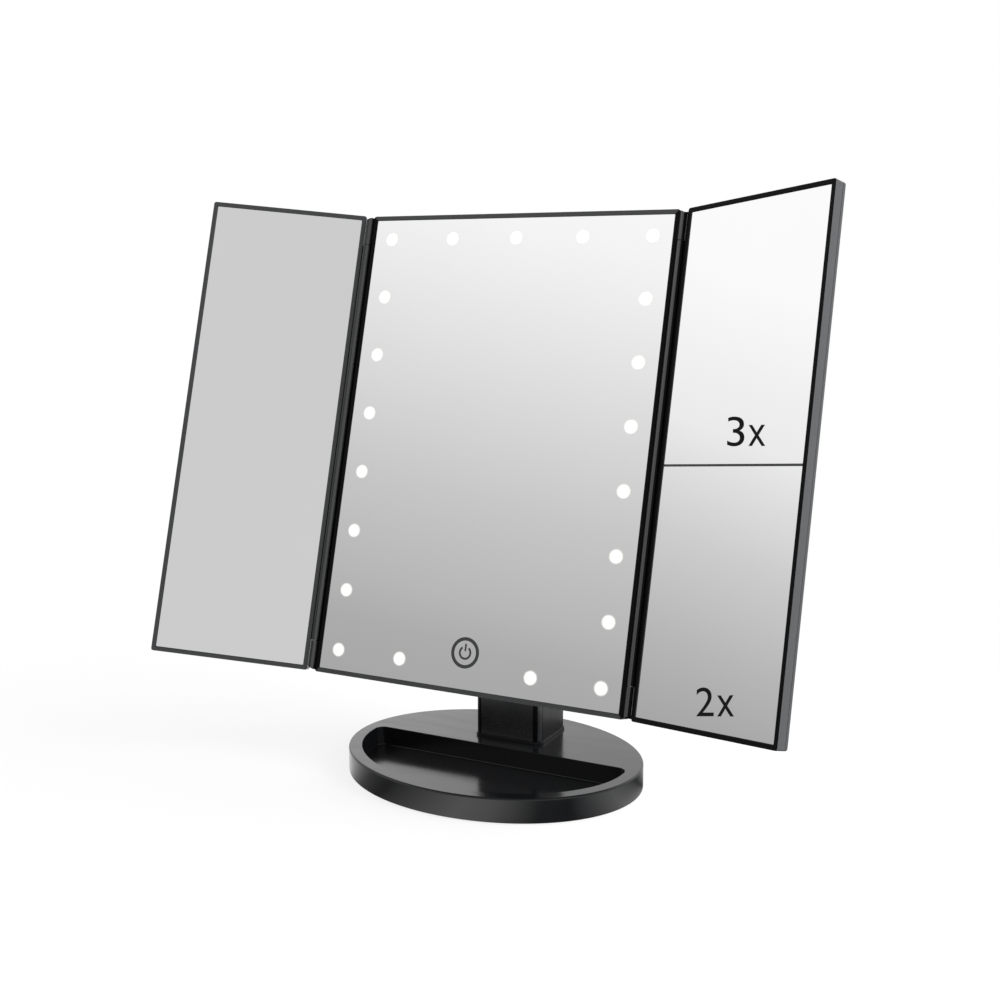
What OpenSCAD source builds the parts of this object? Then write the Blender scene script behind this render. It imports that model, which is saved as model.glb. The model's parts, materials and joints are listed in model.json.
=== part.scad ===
// Trifold lit vanity mirror on a detachable oval stand.
// Millimetres, +Z up. The mirrors face -Y, and the origin is on the table under the middle of the base.

/* [Panels] */
// Width of the centre panel over its rim
panel_w = 170; // [150:1:185]
// Height of the three panels
panel_h = 241.5; // [225:0.5:265]
// Thickness of the centre panel
panel_t = 9; // [8.4:0.1:11]
// Width of each wing over its rim
wing_w = 83.6; // [70:0.1:84.5]
// Thickness of the wings
wing_t = 7.3; // [6.8:0.1:9]
// Corner radius of the panels
panel_corner = 1.2; // [0.6:0.1:2]
// Width of the rim round the mirrors
rim = 2.2; // [1.8:0.1:2.8]
// Thickness of the floor that the mirrors are stuck to
floor_t = 1.2; // [1:0.1:1.5]
// Thickness of the back covers
cover_t = 2; // [1.6:0.1:2.2]

/* [Mirrors] */
// Thickness of the mirror glass
glass_t = 2; // [1.6:0.1:2.2]
// How far the glass lies behind the front of the rim
glass_set = 0.5; // [0.2:0.1:0.7]
// Corner radius of the glass
glass_corner = 0.4; // [0.2:0.1:1]
// Play between the glass and the rim
glass_play = 0.1; // [0.05:0.05:0.3]
// Thickness of the double-sided foam tape
tape_t = 0.4; // [0.3:0.1:0.6]
// Width of the strips of tape
tape_w = 14; // [8:1:18]
// Height of the rib between the two magnifying mirrors
divider_z = 118.6; // [90:0.1:150]
// Width of that rib
divider_w = 1; // [0.8:0.1:2]

/* [Lights] */
// Diameter of a frosted light window
light_d = 7.2; // [5:0.1:8]
// Room round a light in the floor behind it
light_play = 0.4; // [0.2:0.1:0.5]
// From the side of the panel to the middle of a light
light_side = 12.4; // [10:0.1:16]
// From the top or bottom of the panel to the middle of a light
light_end = 12.7; // [10:0.1:16]
// Lights in each upright row
lights_tall = 8; // [4:1:9]
// Lights along the top
lights_wide = 5; // [3:2:5]
// Width of the ring of circuit board behind the lights
board_w = 9; // [8:0.5:10]
// Thickness of the circuit boards
board_t = 1; // [0.8:0.1:1.2]
// Gap between the touch board and the board of the lights
board_gap = 0.5; // [0.3:0.1:2]
// Length, width and height of a light chip
chip = [3.5, 2.8, 0.8];

/* [Touch button] */
// Outer diameter of the touch ring
touch_d = 15.3; // [12:0.1:17]
// Width of the line that the ring is drawn with
touch_line = 1.7; // [1:0.1:2]
// Height of the middle of the ring on the panel
touch_z = 20.2; // [18:0.1:30]
// Radius of the power sign in the ring
sign_r = 2.9; // [2:0.1:3.5]
// Width of the sign's line
sign_line = 0.9; // [0.6:0.1:1.2]
// Length of the sign's bar
sign_bar = 3.8; // [3:0.1:4.5]
// Diameter of the post behind the ring
post_d = 3; // [2:0.5:4]
// Room round the post
post_play = 1; // [0.5:0.1:1.5]
// Thickness of the copper foil behind the ring
foil_t = 0.25; // [0.1:0.05:0.3]
// Depth of the frosted lines in the glass
touch_cut = 0.3; // [0.2:0.1:0.5]

/* [Wing hinges] */
// From the side of a panel to the hinge axis
hinge_gap = 2.2; // [2.1:0.1:3]
// How far the hinge axis lies in front of the panels
hinge_set = 0.4; // [0.3:0.1:0.8]
// Diameter of the hinge barrels
barrel_d = 3.6; // [3.2:0.1:4]
// Diameter of the hinge pins
hinge_pin_d = 1.8; // [1.4:0.1:2.2]
// Length of the knuckles of the centre panel
knuckle_l = 14.8; // [10:0.1:20]
// From the end of a panel to the end of its knuckle
knuckle_end = 0.8; // [0.6:0.1:3]
// How steeply the outer end of a knuckle slopes, in degrees
knuckle_slope = 25; // [15:1:45]
// Gap between two knuckles
knuckle_play = 0.3; // [0.2:0.1:0.6]
// Gap beyond the end of a pin in a wing
pin_end_play = 0.5; // [0.3:0.1:1]
// Gap between the barrels and the guard strip behind them
guard_gap = 0.6; // [0.4:0.1:1]
// Thickness of the guard strips
guard_t = 1.2; // [1:0.1:1.6]
// How far a guard strip reaches beyond the hinge axis
guard_reach = 1.2; // [0.8:0.1:1.4]
// How far the left wing is turned forward from flat
left_turn = 21.3; // [5:0.1:60]
// How far the right wing is turned forward from flat
right_turn = 24.3; // [5:0.1:60]

/* [Tilt hinge] */
// How far the panel leans back
tilt = 15.65; // [5:0.05:30]
// From the front of the centre panel back to the tilt axis
pivot_back = 37.8; // [37.5:0.1:45]
// Diameter of the tilt pin
tilt_pin_d = 6; // [5:0.5:8]
// Diameter of the round ends of the bracket's ears
ear_d = 24; // [20:0.5:28]
// Thickness of the ears
ear_t = 4.5; // [3:0.5:6]
// Diameter of the washers between the ears and the neck
washer_d = 18; // [14:0.5:19]
// Thickness of the washers between the ears and the neck
washer_t = 0.5; // [0.3:0.1:0.8]
// Gap left beside each washer
washer_play = 0.1; // [0.05:0.05:0.2]
// Diameter of the caps over the pin's ends
pin_cap_d = 13; // [11:0.5:16]
// Thickness of the caps
pin_cap_t = 1.6; // [1:0.1:2.5]
// Width of the bracket's plate
bracket_w = 72; // [68:1:90]
// Height of the bracket's plate
bracket_h = 52; // [44:1:70]
// Thickness of the bracket's plate
bracket_t = 3; // [2:0.5:4]
// Depth of the solid web between the ears
web_t = 6; // [4:0.5:7]
// Radial play of pins that turn in a bore
pin_play = 0.05; // [0.02:0.01:0.08]

/* [Neck] */
// Width of the neck, left to right
neck_w = 38; // [34:0.5:42]
// Depth of the neck, front to back
neck_d = 34; // [31:0.5:34.5]
// From the back of the base to the middle of the neck
neck_in = 29.6; // [28:0.1:31]
// Height of the tilt axis above the table
pivot_z = 159.3; // [158:0.1:185]
// Radius of the neck's upright corners
neck_corner = 4.5; // [2:0.5:6]
// Wall of the neck
neck_wall = 1.8; // [1.5:0.1:2.5]
// Height of the collar at its foot
collar_h = 1.6; // [1:0.1:3]
// How far the collar stands out from the neck
collar_out = 0.7; // [0.5:0.1:1.5]
// Gap under the collar and behind the battery door
seat_play = 0.1; // [0.05:0.05:0.3]
// Height of the spigot that stands inside the neck
spigot_h = 2; // [1.5:0.1:3]
// Gap round the spigot
spigot_play = 0.1; // [0.05:0.05:0.3]
// Depth of the solid head of the neck below the tilt axis
head_drop = 13; // [11:0.5:16]

/* [Batteries] */
// Diameter of an AA cell
cell_d = 14.5; // [13.5:0.1:14.6]
// Length of an AA cell
cell_l = 50.5; // [44:0.1:51]
// Diameter of the nub at its positive end
nub_d = 5.5; // [5:0.1:6]
// Length of the nub
nub_l = 1; // [0.8:0.1:1.4]
// Play round each cell
cell_play = 0.4; // [0.2:0.1:0.6]
// Gap between two cells in a stack
cell_gap = 0.1; // [0.05:0.05:0.2]
// Thickness of the contact plates
contact_t = 0.5; // [0.3:0.1:0.8]
// Room for the pressed contact springs
spring_l = 2.5; // [2:0.1:3]
// Thickness of the battery door
door_t = 1.8; // [1.4:0.1:2.2]
// Gap round the door
door_play = 0.25; // [0.15:0.05:0.4]
// Width of the ledge that the door lies on
door_ledge = 1.4; // [1:0.1:1.6]
// Diameter of the finger groove across the door
groove_d = 6.4; // [4:0.2:9]
// Depth of the groove
groove_deep = 0.8; // [0.4:0.1:1]
// From the top of the battery bay to the groove
groove_down = 8; // [5:0.5:30]

/* [Ports] */
// Width, depth and height of the power socket
socket = [7.6, 5.6, 2.8];
// Thickness of the socket's metal shell
socket_wall = 0.4; // [0.3:0.1:0.5]
// How far its mouth lies inside the back of the neck
socket_in = 0.2; // [0.1:0.1:1]
// Middle of the power socket to the right of the neck's middle
socket_x = 7.5; // [6:0.5:8]
// Width, depth and height of the slide switch
switch = [8.6, 4, 3.6];
// Middle of the switch to the left of the neck's middle
switch_x = 7; // [6:0.5:8]
// Width and height of the switch's knob
knob = [3, 2];
// Travel of the knob
knob_travel = 2; // [1:0.5:3]
// Gap round the knob
knob_play = 0.3; // [0.2:0.1:0.4]
// How far the knob stands out of the neck
knob_out = 0.9; // [0.6:0.1:1.5]
// Width, depth and thickness of the port board
port_board = [29, 11, 1.2];
// Height of the posts under it
port_up = 4; // [3:0.5:6]
// Width of the posts
port_post_w = 3; // [2:0.5:4]

/* [Base] */
// Width of the base
base_w = 158.2; // [150:0.1:180]
// Depth of the base
base_d = 124; // [120:0.1:140]
// Height of the top of the base above the table
base_top = 12.8; // [10.2:0.1:14]
// Radius of the rounded edge
base_edge = 1; // [0.8:0.1:4]
// Wall of the base
base_wall = 2; // [1.8:0.1:2.6]
// Thickness of its bottom plate
base_plate_t = 1.1; // [1:0.1:1.3]
// Thickness of the tray's floor
tray_floor = 1; // [0.8:0.1:1.5]
// From the rim of the base's flat top to the tray
tray_rim = 6; // [5:0.5:9]
// Where the tray's straight back wall stands, behind the middle of the base
tray_back = 5.3; // [0:0.1:9]
// Corner radius of the tray
tray_corner = 5; // [3:0.5:8]
// Width of the plug under the neck
plug_w = 29; // [26:0.5:30]
// Depth of the plug, front to back
plug_d = 26; // [22:0.5:27]
// Radius of the plug's upright corners
plug_corner = 1.5; // [1:0.5:4]
// Gap round the plug
plug_play = 0.25; // [0.15:0.05:0.4]
// Bottom plate left beside a sunk screw head
screw_edge = 0.5; // [0.4:0.1:2]
// Gap round the bottom plate and the weight
fit_play = 0.1; // [0.05:0.05:0.3]
// Thickness of the steel weight
weight_t = 5; // [3:0.5:6]
// Diameter of the rubber feet
foot_d = 12; // [8:0.5:14]
// Thickness of the feet
foot_t = 1.2; // [1:0.1:1.4]
// How far the feet stand out
foot_out = 0.5; // [0.4:0.1:0.8]
// From the edge of the base to the middle of an outer foot
foot_in = 17; // [10:0.5:25]
// Where the four outer feet are on the oval, in degrees from its long axis
foot_turn = 44; // [30:1:60]

/* [Screws] */
// Thread diameter of the screws in the panels and the bracket
screw_d = 2.6; // [2:0.1:3]
// Diameter of their heads
head_d = 4.8; // [4:0.1:5.2]
// Height of their heads
head_h = 1.2; // [1:0.1:1.4]
// Diameter of the bosses that they turn into
boss_d = 6.4; // [6:0.1:7.5]
// Room round a sunk head, on its diameter
head_play = 0.4; // [0.2:0.1:0.8]
// Wall left beyond the end of a screw
screw_skin = 0.3; // [0.2:0.1:0.6]
// From the top or bottom of the centre panel to its outer screws
panel_screw_end = 41; // [30:1:80]

/* [Hidden] */
$fn = 64;
// Overrun of cuts, and overlap of shapes that join into one
over = 1;
lap = 0.2;

// Depths in a panel, counted back from the front of the rim
glass_back = glass_set + glass_t;
floor_front = glass_back + tape_t;
floor_back = floor_front + floor_t;
cover_front = panel_t - cover_t;
wing_cover_front = wing_t - cover_t;

// Hinge axes of the wings, and the middles of the knuckles on them
hinge_x = panel_w / 2 + hinge_gap;
wing_barrel_z0 = knuckle_end + knuckle_l + knuckle_play;
wing_barrel_l = panel_h - 2 * wing_barrel_z0;
pin_z = [wing_barrel_z0 - knuckle_play / 2, panel_h - wing_barrel_z0 + knuckle_play / 2];

// Pins: the outer ends of the knuckles slope down from the panel, and the pins end short of the slope
knuckle_skin = 0.6;
knuckle_closed = (hinge_gap + hinge_pin_d / 2) * tan(knuckle_slope) + knuckle_skin;
hinge_pin_l = 2 * (knuckle_l - knuckle_closed) + knuckle_play;

// Middles of the lights: two upright rows, the top row and the bottom row, which the touch sign breaks
light_x = panel_w / 2 - light_side;
light_top = panel_h - light_end;
light_step_z = (light_top - light_end) / (lights_tall - 1);
light_step_x = 2 * light_x / (lights_wide - 1);
tape_strips = 4;
tape_step = (2 * light_x - light_d) / tape_strips;
LIGHTS = concat(
    [for (side = [-1, 1], i = [0:lights_tall - 1]) [side * light_x, light_end + i * light_step_z]],
    [for (i = [1:lights_wide - 2]) [i * light_step_x - light_x, light_top]],
    [for (i = [1:lights_wide - 2]) if (abs(i * light_step_x - light_x) > touch_d)
        [i * light_step_x - light_x, light_end]]
);

// Lower and upper side of the rib on the right wing
divider_low = divider_z - divider_w / 2;
divider_high = divider_z + divider_w / 2;

// Screws of the panel's cover, and of the bracket, on the panel
pivot_up = panel_h / 2;
panel_screw_x = light_x - board_w / 2 - boss_d;
panel_screw_zs = [panel_screw_end, pivot_up, panel_h - panel_screw_end];
PANEL_SCREWS = [for (side = [-1, 1], z = panel_screw_zs) [side * panel_screw_x, z]];
ear_in = neck_w / 2 + washer_t + washer_play;
bracket_screw_x = (ear_in + ear_t + bracket_w / 2) / 2;
bracket_screw_z = bracket_h / 2 - head_d;
bracket_screw_end = floor_back + lap + screw_skin;
BRACKET_SCREWS = [for (x = [-1, 1], z = [-1, 1]) [x * bracket_screw_x, pivot_up + z * bracket_screw_z]];

// Heights in the base and the neck
base_bottom = foot_out;
plate_top = base_bottom + base_plate_t;
tray_z = plate_top + tray_floor;
neck_z0 = base_top + seat_play + collar_h;
head_z = pivot_z - head_drop;
bay_w = 2 * cell_d + 3 * cell_play;
bay_d = cell_d + 2 * cell_play;
bay_h = 2 * cell_l + cell_gap + 2 * contact_t + spring_l;
bay_z1 = head_z - neck_wall;
bay_z0 = bay_z1 - bay_h;
neck_y = base_d / 2 - neck_in;
neck_back = neck_y + neck_d / 2;
neck_front_y = neck_y - neck_d / 2;
bay_front = neck_back - door_t - bay_d;
split_y = bay_front - neck_wall;
cell_y = bay_front + bay_d / 2;
port_z = neck_z0 + port_up;
port_y1 = neck_back - neck_wall;
port_y0 = port_y1 - port_board[1];
socket_z = port_z + port_board[2] + socket[2] / 2;
socket_y1 = neck_back - socket_in;
switch_z = port_z + port_board[2] + switch[2] / 2;

// Screws of the neck: they run from the rear shell into the front shell
neck_screw_y = neck_back - head_h - screw_skin;
neck_screw_l = neck_screw_y - neck_front_y - 3 * neck_wall;
neck_screw_zs = [head_z + head_d, bay_z0 - door_ledge - head_d];
NECK_SCREWS = [for (side = [-1, 1], z = neck_screw_zs) [side * neck_w / 4, z]];

// Plan of the base: half axes of the outline and of the flat top
base_a = base_w / 2;
base_b = base_d / 2;
top_a = base_a - base_edge;
top_b = base_b - base_edge;
inner_a = base_a - base_wall;
inner_b = base_b - base_wall;
foot_x = (base_a - foot_in) * cos(foot_turn);
foot_y = (base_b - foot_in) * sin(foot_turn);
FEET = concat([[0, 0]], [for (x = [-1, 1], y = [-1, 1]) [x * foot_x, y * foot_y]]);
base_screw_a = inner_a - head_d / 2 - screw_edge;
base_screw_b = inner_b - head_d / 2 - screw_edge;
base_boss_top = base_top - base_wall;
base_screw_l = base_boss_top - base_bottom - 1;
base_screw_turns = [8, 62, 118, 172, 235, 305];
BASE_SCREWS = [for (a = base_screw_turns) [base_screw_a * cos(a), base_screw_b * sin(a)]];

// ---- Shared shapes ----

// Rectangle with round corners, its lower left corner at the origin
module round_rect(w, h, r) {
    translate([r, 0]) square([w - 2 * r, h]);
    translate([0, r]) square([w, h - 2 * r]);
    for (x = [r, w - r], y = [r, h - r]) translate([x, y]) circle(r);
}

// The same, with its middle at the origin
module mid_rect(w, h, r) {
    translate([-w / 2, -h / 2]) round_rect(w, h, r);
}

// Upright plate whose corner is at x, z and whose front is at depth y
module slab(x, z, w, h, y, t, r = 0) {
    translate([x, y + t, z]) rotate([90, 0, 0]) linear_extrude(t)
        if (r > 0) round_rect(w, h, r);
        else square([w, h]);
}

// Cylinder along Y from depth y to y + l
module rod_y(x, z, d, y, l) {
    translate([x, y, z]) rotate([-90, 0, 0]) cylinder(h = l, d = d);
}

// Cylinder along X, centred on x
module rod_x(d, l) {
    rotate([0, 90, 0]) cylinder(h = l, d = d, center = true);
}

// Screw whose head's underside is at the origin and whose thread runs to -Z
module screw(l) {
    difference() {
        union() {
            cylinder(h = head_h, d = head_d);
            translate([0, 0, -l]) cylinder(h = l, d = screw_d);
        }
        translate([0, 0, head_h]) cross_slot();
    }
}

// Cross in the face of a screw head
module cross_slot() {
    for (a = [0, 90]) rotate(a) cube([0.62 * head_d, 0.16 * head_d, head_h], center = true);
}

// Screw driven along -Y, the underside of its head at depth y
module screw_y(x, z, y, l) {
    translate([x, y, z]) rotate([-90, 0, 0]) screw(l);
}

// Flat-headed screw driven up, the face of its head at the origin
module sunk_screw(l) {
    difference() {
        union() {
            sunk_head();
            cylinder(h = l, d = screw_d);
        }
        cross_slot();
    }
}

module sunk_head() {
    cylinder(h = base_plate_t, d1 = head_d, d2 = screw_d);
}

// Elliptical plate
module oval(a, b) {
    polygon([for (i = [0:95]) [a * cos(i * 3.75), b * sin(i * 3.75)]]);
}

// ---- Frames of the moving bodies ----

module on_panel() {
    translate([0, neck_y, pivot_z]) rotate([-tilt, 0, 0]) translate([0, -pivot_back, -pivot_up])
        children();
}

module on_left() {
    on_panel() translate([-hinge_x, -hinge_set, 0]) rotate(left_turn) mirror([1, 0, 0]) children();
}

module on_right() {
    on_panel() translate([hinge_x, -hinge_set, 0]) rotate(-right_turn) children();
}

// ---- Base ----

module tray_plan() {
    offset(tray_corner) offset(-tray_corner) intersection() {
        oval(top_a - tray_rim, top_b - tray_rim);
        translate([-base_a, -base_b]) square([base_w, base_b + tray_back]);
    }
}

// Outline of the plug under the neck, grown by play on each side
module plug_plan(play) {
    translate([0, neck_y]) mid_rect(plug_w + 2 * play, plug_d + 2 * play, plug_corner + play);
}

module at_base_screws() {
    for (p = BASE_SCREWS) translate([p[0], p[1], 0]) children();
}

module base_shell() color("#17181a") {
    difference() {
        hull() {
            translate([0, 0, base_bottom]) linear_extrude(base_top - base_bottom - base_edge)
                oval(base_a, base_b);
            for (a = [30, 60, 90])
                translate([0, 0, base_top - base_edge]) linear_extrude(base_edge * sin(a))
                    oval(base_a - base_edge * (1 - cos(a)), base_b - base_edge * (1 - cos(a)));
        }
        // Room for the weight and the bosses, all round the tray
        difference() {
            translate([0, 0, base_bottom - over]) linear_extrude(base_boss_top - base_bottom + over)
                oval(inner_a, inner_b);
            linear_extrude(base_top) offset(base_wall) tray_plan();
            linear_extrude(base_top) plug_plan(plug_play + base_wall);
            at_base_screws() cylinder(h = base_top, d = boss_d);
        }
        // Seat of the bottom plate
        translate([0, 0, base_bottom - over]) linear_extrude(base_plate_t + over) oval(inner_a, inner_b);
        translate([0, 0, tray_z]) linear_extrude(base_top) tray_plan();
        linear_extrude(base_top + over) plug_plan(plug_play);
        at_base_screws() cylinder(h = base_bottom + base_screw_l, d = screw_d);
    }
}

module base_plate() color("#202124") {
    difference() {
        translate([0, 0, base_bottom]) linear_extrude(base_plate_t)
            oval(inner_a - fit_play, inner_b - fit_play);
        for (p = FEET) translate([p[0], p[1], base_bottom - over])
            cylinder(h = over + foot_t - foot_out, d = foot_d);
        at_base_screws() translate([0, 0, base_bottom]) sunk_head();
    }
}

// Half oval behind the tray, whose front corners stop at the bosses beside the tray
module weight_plan() {
    front = tray_back + base_wall + fit_play;
    boss = BASE_SCREWS[0];
    difference() {
        intersection() {
            oval(inner_a - fit_play, inner_b - fit_play);
            translate([-base_a, front]) square([base_w, base_b]);
        }
        for (side = [0, 1]) mirror([side, 0])
            translate([boss[0], front - over]) square([base_a - boss[0], max(over, boss[1] - front)]);
    }
}

module base_weight() color("#8a8d90") {
    difference() {
        translate([0, 0, plate_top]) linear_extrude(weight_t) weight_plan();
        linear_extrude(base_top) plug_plan(plug_play + base_wall + fit_play);
        at_base_screws() cylinder(h = base_top, d = boss_d + 2 * fit_play);
    }
}

module base_feet() color("#2b2b2b") {
    for (p = FEET) translate([p[0], p[1], 0]) cylinder(h = foot_t, d = foot_d);
}

module base_screws() color("#a7a9ab") {
    at_base_screws() translate([0, 0, base_bottom]) sunk_screw(base_screw_l);
}

// ---- Neck ----

// Solid outline of the neck: a post with a round head about the tilt axis
module neck_solid() {
    intersection() {
        translate([0, neck_y, neck_z0]) linear_extrude(pivot_z + neck_d)
            mid_rect(neck_w, neck_d, neck_corner);
        union() {
            translate([-neck_w, neck_front_y - over, 0]) cube([2 * neck_w, neck_d + 2 * over, pivot_z]);
            translate([0, neck_y, pivot_z]) rod_x(neck_d, 2 * neck_w);
        }
    }
}

module neck_bore() {
    translate([0, neck_y, pivot_z]) rod_x(tilt_pin_d + 2 * pin_play, 2 * neck_w);
}

module at_neck_screws() {
    for (p = NECK_SCREWS) translate([p[0], 0, p[1]]) children();
}

module neck_foot() color("#17181a") {
    inside = 2 * (neck_wall + spigot_play);
    translate([0, neck_y, base_top + seat_play]) linear_extrude(collar_h)
        mid_rect(neck_w + 2 * collar_out, neck_d + 2 * collar_out, neck_corner + collar_out);
    translate([0, neck_y, neck_z0 - lap]) linear_extrude(spigot_h + lap)
        mid_rect(neck_w - inside, neck_d - inside, neck_corner);
    translate([0, 0, plate_top + plug_play]) linear_extrude(base_top - plate_top) plug_plan(0);
    // Posts that carry the port board
    for (side = [-1, 1])
        translate([side * (port_board[0] / 2 - port_post_w) - port_post_w / 2, port_y0, neck_z0])
            cube([port_post_w, port_board[1], port_up]);
}

module neck_front() color("#191a1c") {
    difference() {
        intersection() {
            neck_solid();
            translate([-neck_w, 0, 0]) cube([2 * neck_w, split_y, pivot_z + neck_d]);
        }
        // Hollow for the wires, round the two bosses of the lower screws
        difference() {
            translate([neck_wall - neck_w / 2, neck_front_y + neck_wall, 0])
                cube([neck_w - 2 * neck_wall, neck_d, head_z]);
            at_neck_screws() rod_y(0, 0, boss_d, 0, split_y);
        }
        at_neck_screws() rod_y(0, 0, screw_d, neck_screw_y - neck_screw_l, neck_d);
        neck_bore();
    }
}

// Outline of the battery door, drawn in by play on each side
module door_block(play) {
    w = bay_w + 2 * door_ledge - 2 * play;
    h = bay_h + 2 * door_ledge - 2 * play;
    translate([-w / 2, neck_back - door_t, bay_z0 - door_ledge + play]) cube([w, door_t + over, h]);
}

module neck_rear() color("#191a1c") {
    difference() {
        intersection() {
            neck_solid();
            translate([-neck_w, split_y, 0]) cube([2 * neck_w, neck_d, pivot_z + neck_d]);
        }
        door_block(0);
        translate([-bay_w / 2, bay_front, bay_z0]) cube([bay_w, neck_d, bay_h]);
        // Room for the ports, round the two bosses of the lower screws
        difference() {
            translate([neck_wall - neck_w / 2, split_y - over, 0])
                cube([neck_w - 2 * neck_wall, port_y1 - split_y + over, bay_z0 - neck_wall]);
            at_neck_screws() rod_y(0, 0, boss_d, split_y, neck_d);
        }
        at_neck_screws() {
            rod_y(0, 0, screw_d, split_y - over, neck_d);
            rod_y(0, 0, head_d + head_play, neck_screw_y, neck_d);
        }
        at_socket(neck_back + over, socket[1]) socket_plan(-fit_play);
        knob_way(4 * neck_wall);
        neck_bore();
    }
}

module neck_screws() color("#a7a9ab") {
    for (p = NECK_SCREWS) screw_y(p[0], p[1], neck_screw_y, neck_screw_l);
}

module battery_door() color("#191a1c") {
    difference() {
        intersection() {
            neck_solid();
            door_block(door_play);
        }
        translate([-neck_w, neck_back - door_t - over, 0]) cube([2 * neck_w, over + seat_play, pivot_z]);
        // Finger groove
        translate([0, neck_back + groove_d / 2 - groove_deep, bay_z1 - groove_down])
            rod_x(groove_d, bay_w / 2);
    }
}

// Two cells, one on the other, with their nubs up
module cell_stack() {
    for (i = [0, 1]) translate([0, 0, i * (cell_l + cell_gap)]) {
        cylinder(h = cell_l - nub_l, d = cell_d);
        cylinder(h = cell_l, d = nub_d);
    }
}

// The left stack stands on its spring, and the right one hangs nubs down from its own
module at_cells() {
    translate([-(cell_d + cell_play) / 2, cell_y, bay_z0 + contact_t]) children();
    translate([(cell_d + cell_play) / 2, cell_y, bay_z1 - contact_t]) rotate([180, 0, 0]) children();
}

module battery_cells() color("#b98b3e") at_cells() translate([0, 0, spring_l]) cell_stack();

module battery_contacts() color("#c9c9c4") {
    plate_w = cell_d - 2;
    at_cells() cylinder(h = spring_l, d1 = plate_w - 2, d2 = nub_d);
    for (side = [-1, 1])
        translate([side * (cell_d + cell_play) / 2 - plate_w / 2, cell_y - plate_w / 2, bay_z0])
            cube([plate_w, plate_w, contact_t]);
    translate([-plate_w, cell_y - plate_w / 2, bay_z1 - contact_t]) cube([2 * plate_w, plate_w, contact_t]);
}

// ---- Ports of the neck ----

module port_board() color("#1f6b3a") {
    translate([-port_board[0] / 2, port_y0, port_z]) cube(port_board);
}

// Outline of the socket with its lower corners cut off, drawn in by wall on each side
module socket_plan(wall) {
    w = socket[0] / 2 - wall;
    h = socket[2] / 2 - wall;
    polygon([[-w, h], [w, h], [w, -h / 3], [w - h, -h], [h - w, -h], [-w, -h / 3]]);
}

// Upright plan moved to the socket, its mouth at depth y and l deep
module at_socket(y, l) {
    translate([socket_x, y, socket_z]) rotate([90, 0, 0]) linear_extrude(l) children();
}

module power_socket() color("#b9bcbe") {
    difference() {
        at_socket(socket_y1, socket[1]) socket_plan(0);
        at_socket(socket_y1 + over, socket[1] - socket_wall + over) socket_plan(socket_wall);
    }
    // Tongue that carries the contacts
    at_socket(socket_y1 - 2 * socket_wall, socket[1] - 3 * socket_wall + lap)
        square([socket[0] / 2, 2 * socket_wall], center = true);
}

// Room that the switch's knob slides in, l deep about the inner face of the neck's back
module knob_way(l) {
    translate([-switch_x, port_y1, switch_z])
        cube([knob[0] + knob_travel + 2 * knob_play, l, knob[1] + 2 * knob_play], center = true);
}

module switch_body() color("#c4c6c8") {
    difference() {
        translate([-switch_x - switch[0] / 2, port_y1 - switch[1], port_z + port_board[2]]) cube(switch);
        knob_way(switch[1]);
    }
}

module switch_knob() color("#101010") {
    l = neck_back + knob_out - port_y1 + switch[1] / 2 - knob_play;
    translate([-switch_x + (knob_travel - knob[0]) / 2, neck_back + knob_out - l, switch_z - knob[1] / 2])
        cube([knob[0], l, knob[1]]);
}

// ---- Centre panel ----

module at_lights() {
    for (p = LIGHTS) translate([p[0], 0, p[1]]) children();
}

// Rim and floor of a panel of width w, with its left side at x and its front at depth y
module rim_and_floor(x, w, y, depth) {
    difference() {
        slab(x, 0, w, panel_h, y, depth, panel_corner);
        slab(x + rim, rim, w - 2 * rim, panel_h - 2 * rim, y - over, floor_front + over);
        slab(x + rim, rim, w - 2 * rim, panel_h - 2 * rim, y + floor_back, panel_t);
    }
}

// Back cover that closes such a panel
module cover(x, w, y) {
    slab(x, 0, w, panel_h, y, cover_t, panel_corner);
}

// Glass of width w and height h inside a rim, its lower left corner at x, z
module glass(x, z, w, h, y) {
    slab(x + glass_play, z + glass_play, w - 2 * glass_play, h - 2 * glass_play,
        y + glass_set, glass_t, glass_corner);
}

// Strip of tape about x, from z upward
module tape(x, z, h, y) {
    slab(x - tape_w / 2, z, tape_w, h, y, tape_t, 1);
}

// Hinge barrel along Z with the web that joins it to a panel on its +X side
module barrel(z, l) {
    translate([0, 0, z]) cylinder(h = l, d = barrel_d);
    translate([0, hinge_set, z]) cube([hinge_gap + lap, barrel_d / 3, l]);
}

// Knuckle of the centre panel, its outer end sloping from the panel on its +X side down to the wing
module knuckle() {
    difference() {
        barrel(knuckle_end, knuckle_l);
        translate([hinge_gap, -barrel_d, knuckle_end]) rotate([0, knuckle_slope, 0])
            translate([-4 * barrel_d, 0, -2 * barrel_d]) cube([4 * barrel_d, 2 * barrel_d, 2 * barrel_d]);
    }
}

// Both hinge lines of the centre panel, with its side as +X, and the knuckles' ends both ways up
module at_knuckles() {
    for (side = [-1, 1], end = [0, 1])
        translate([side * hinge_x, -hinge_set, end * panel_h])
            mirror([side < 0 ? 0 : 1, 0, 0]) mirror([0, 0, end]) children();
}

// Strip behind the barrels of both hinge lines, that closes the gaps beside them to the eye
module hinge_guards() {
    y = barrel_d / 2 + guard_gap - hinge_set;
    w = hinge_gap + guard_reach + lap;
    for (x = [lap - panel_w / 2 - w, panel_w / 2 - lap])
        slab(x, knuckle_end, w, panel_h - 2 * knuckle_end, y, guard_t);
}

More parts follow.
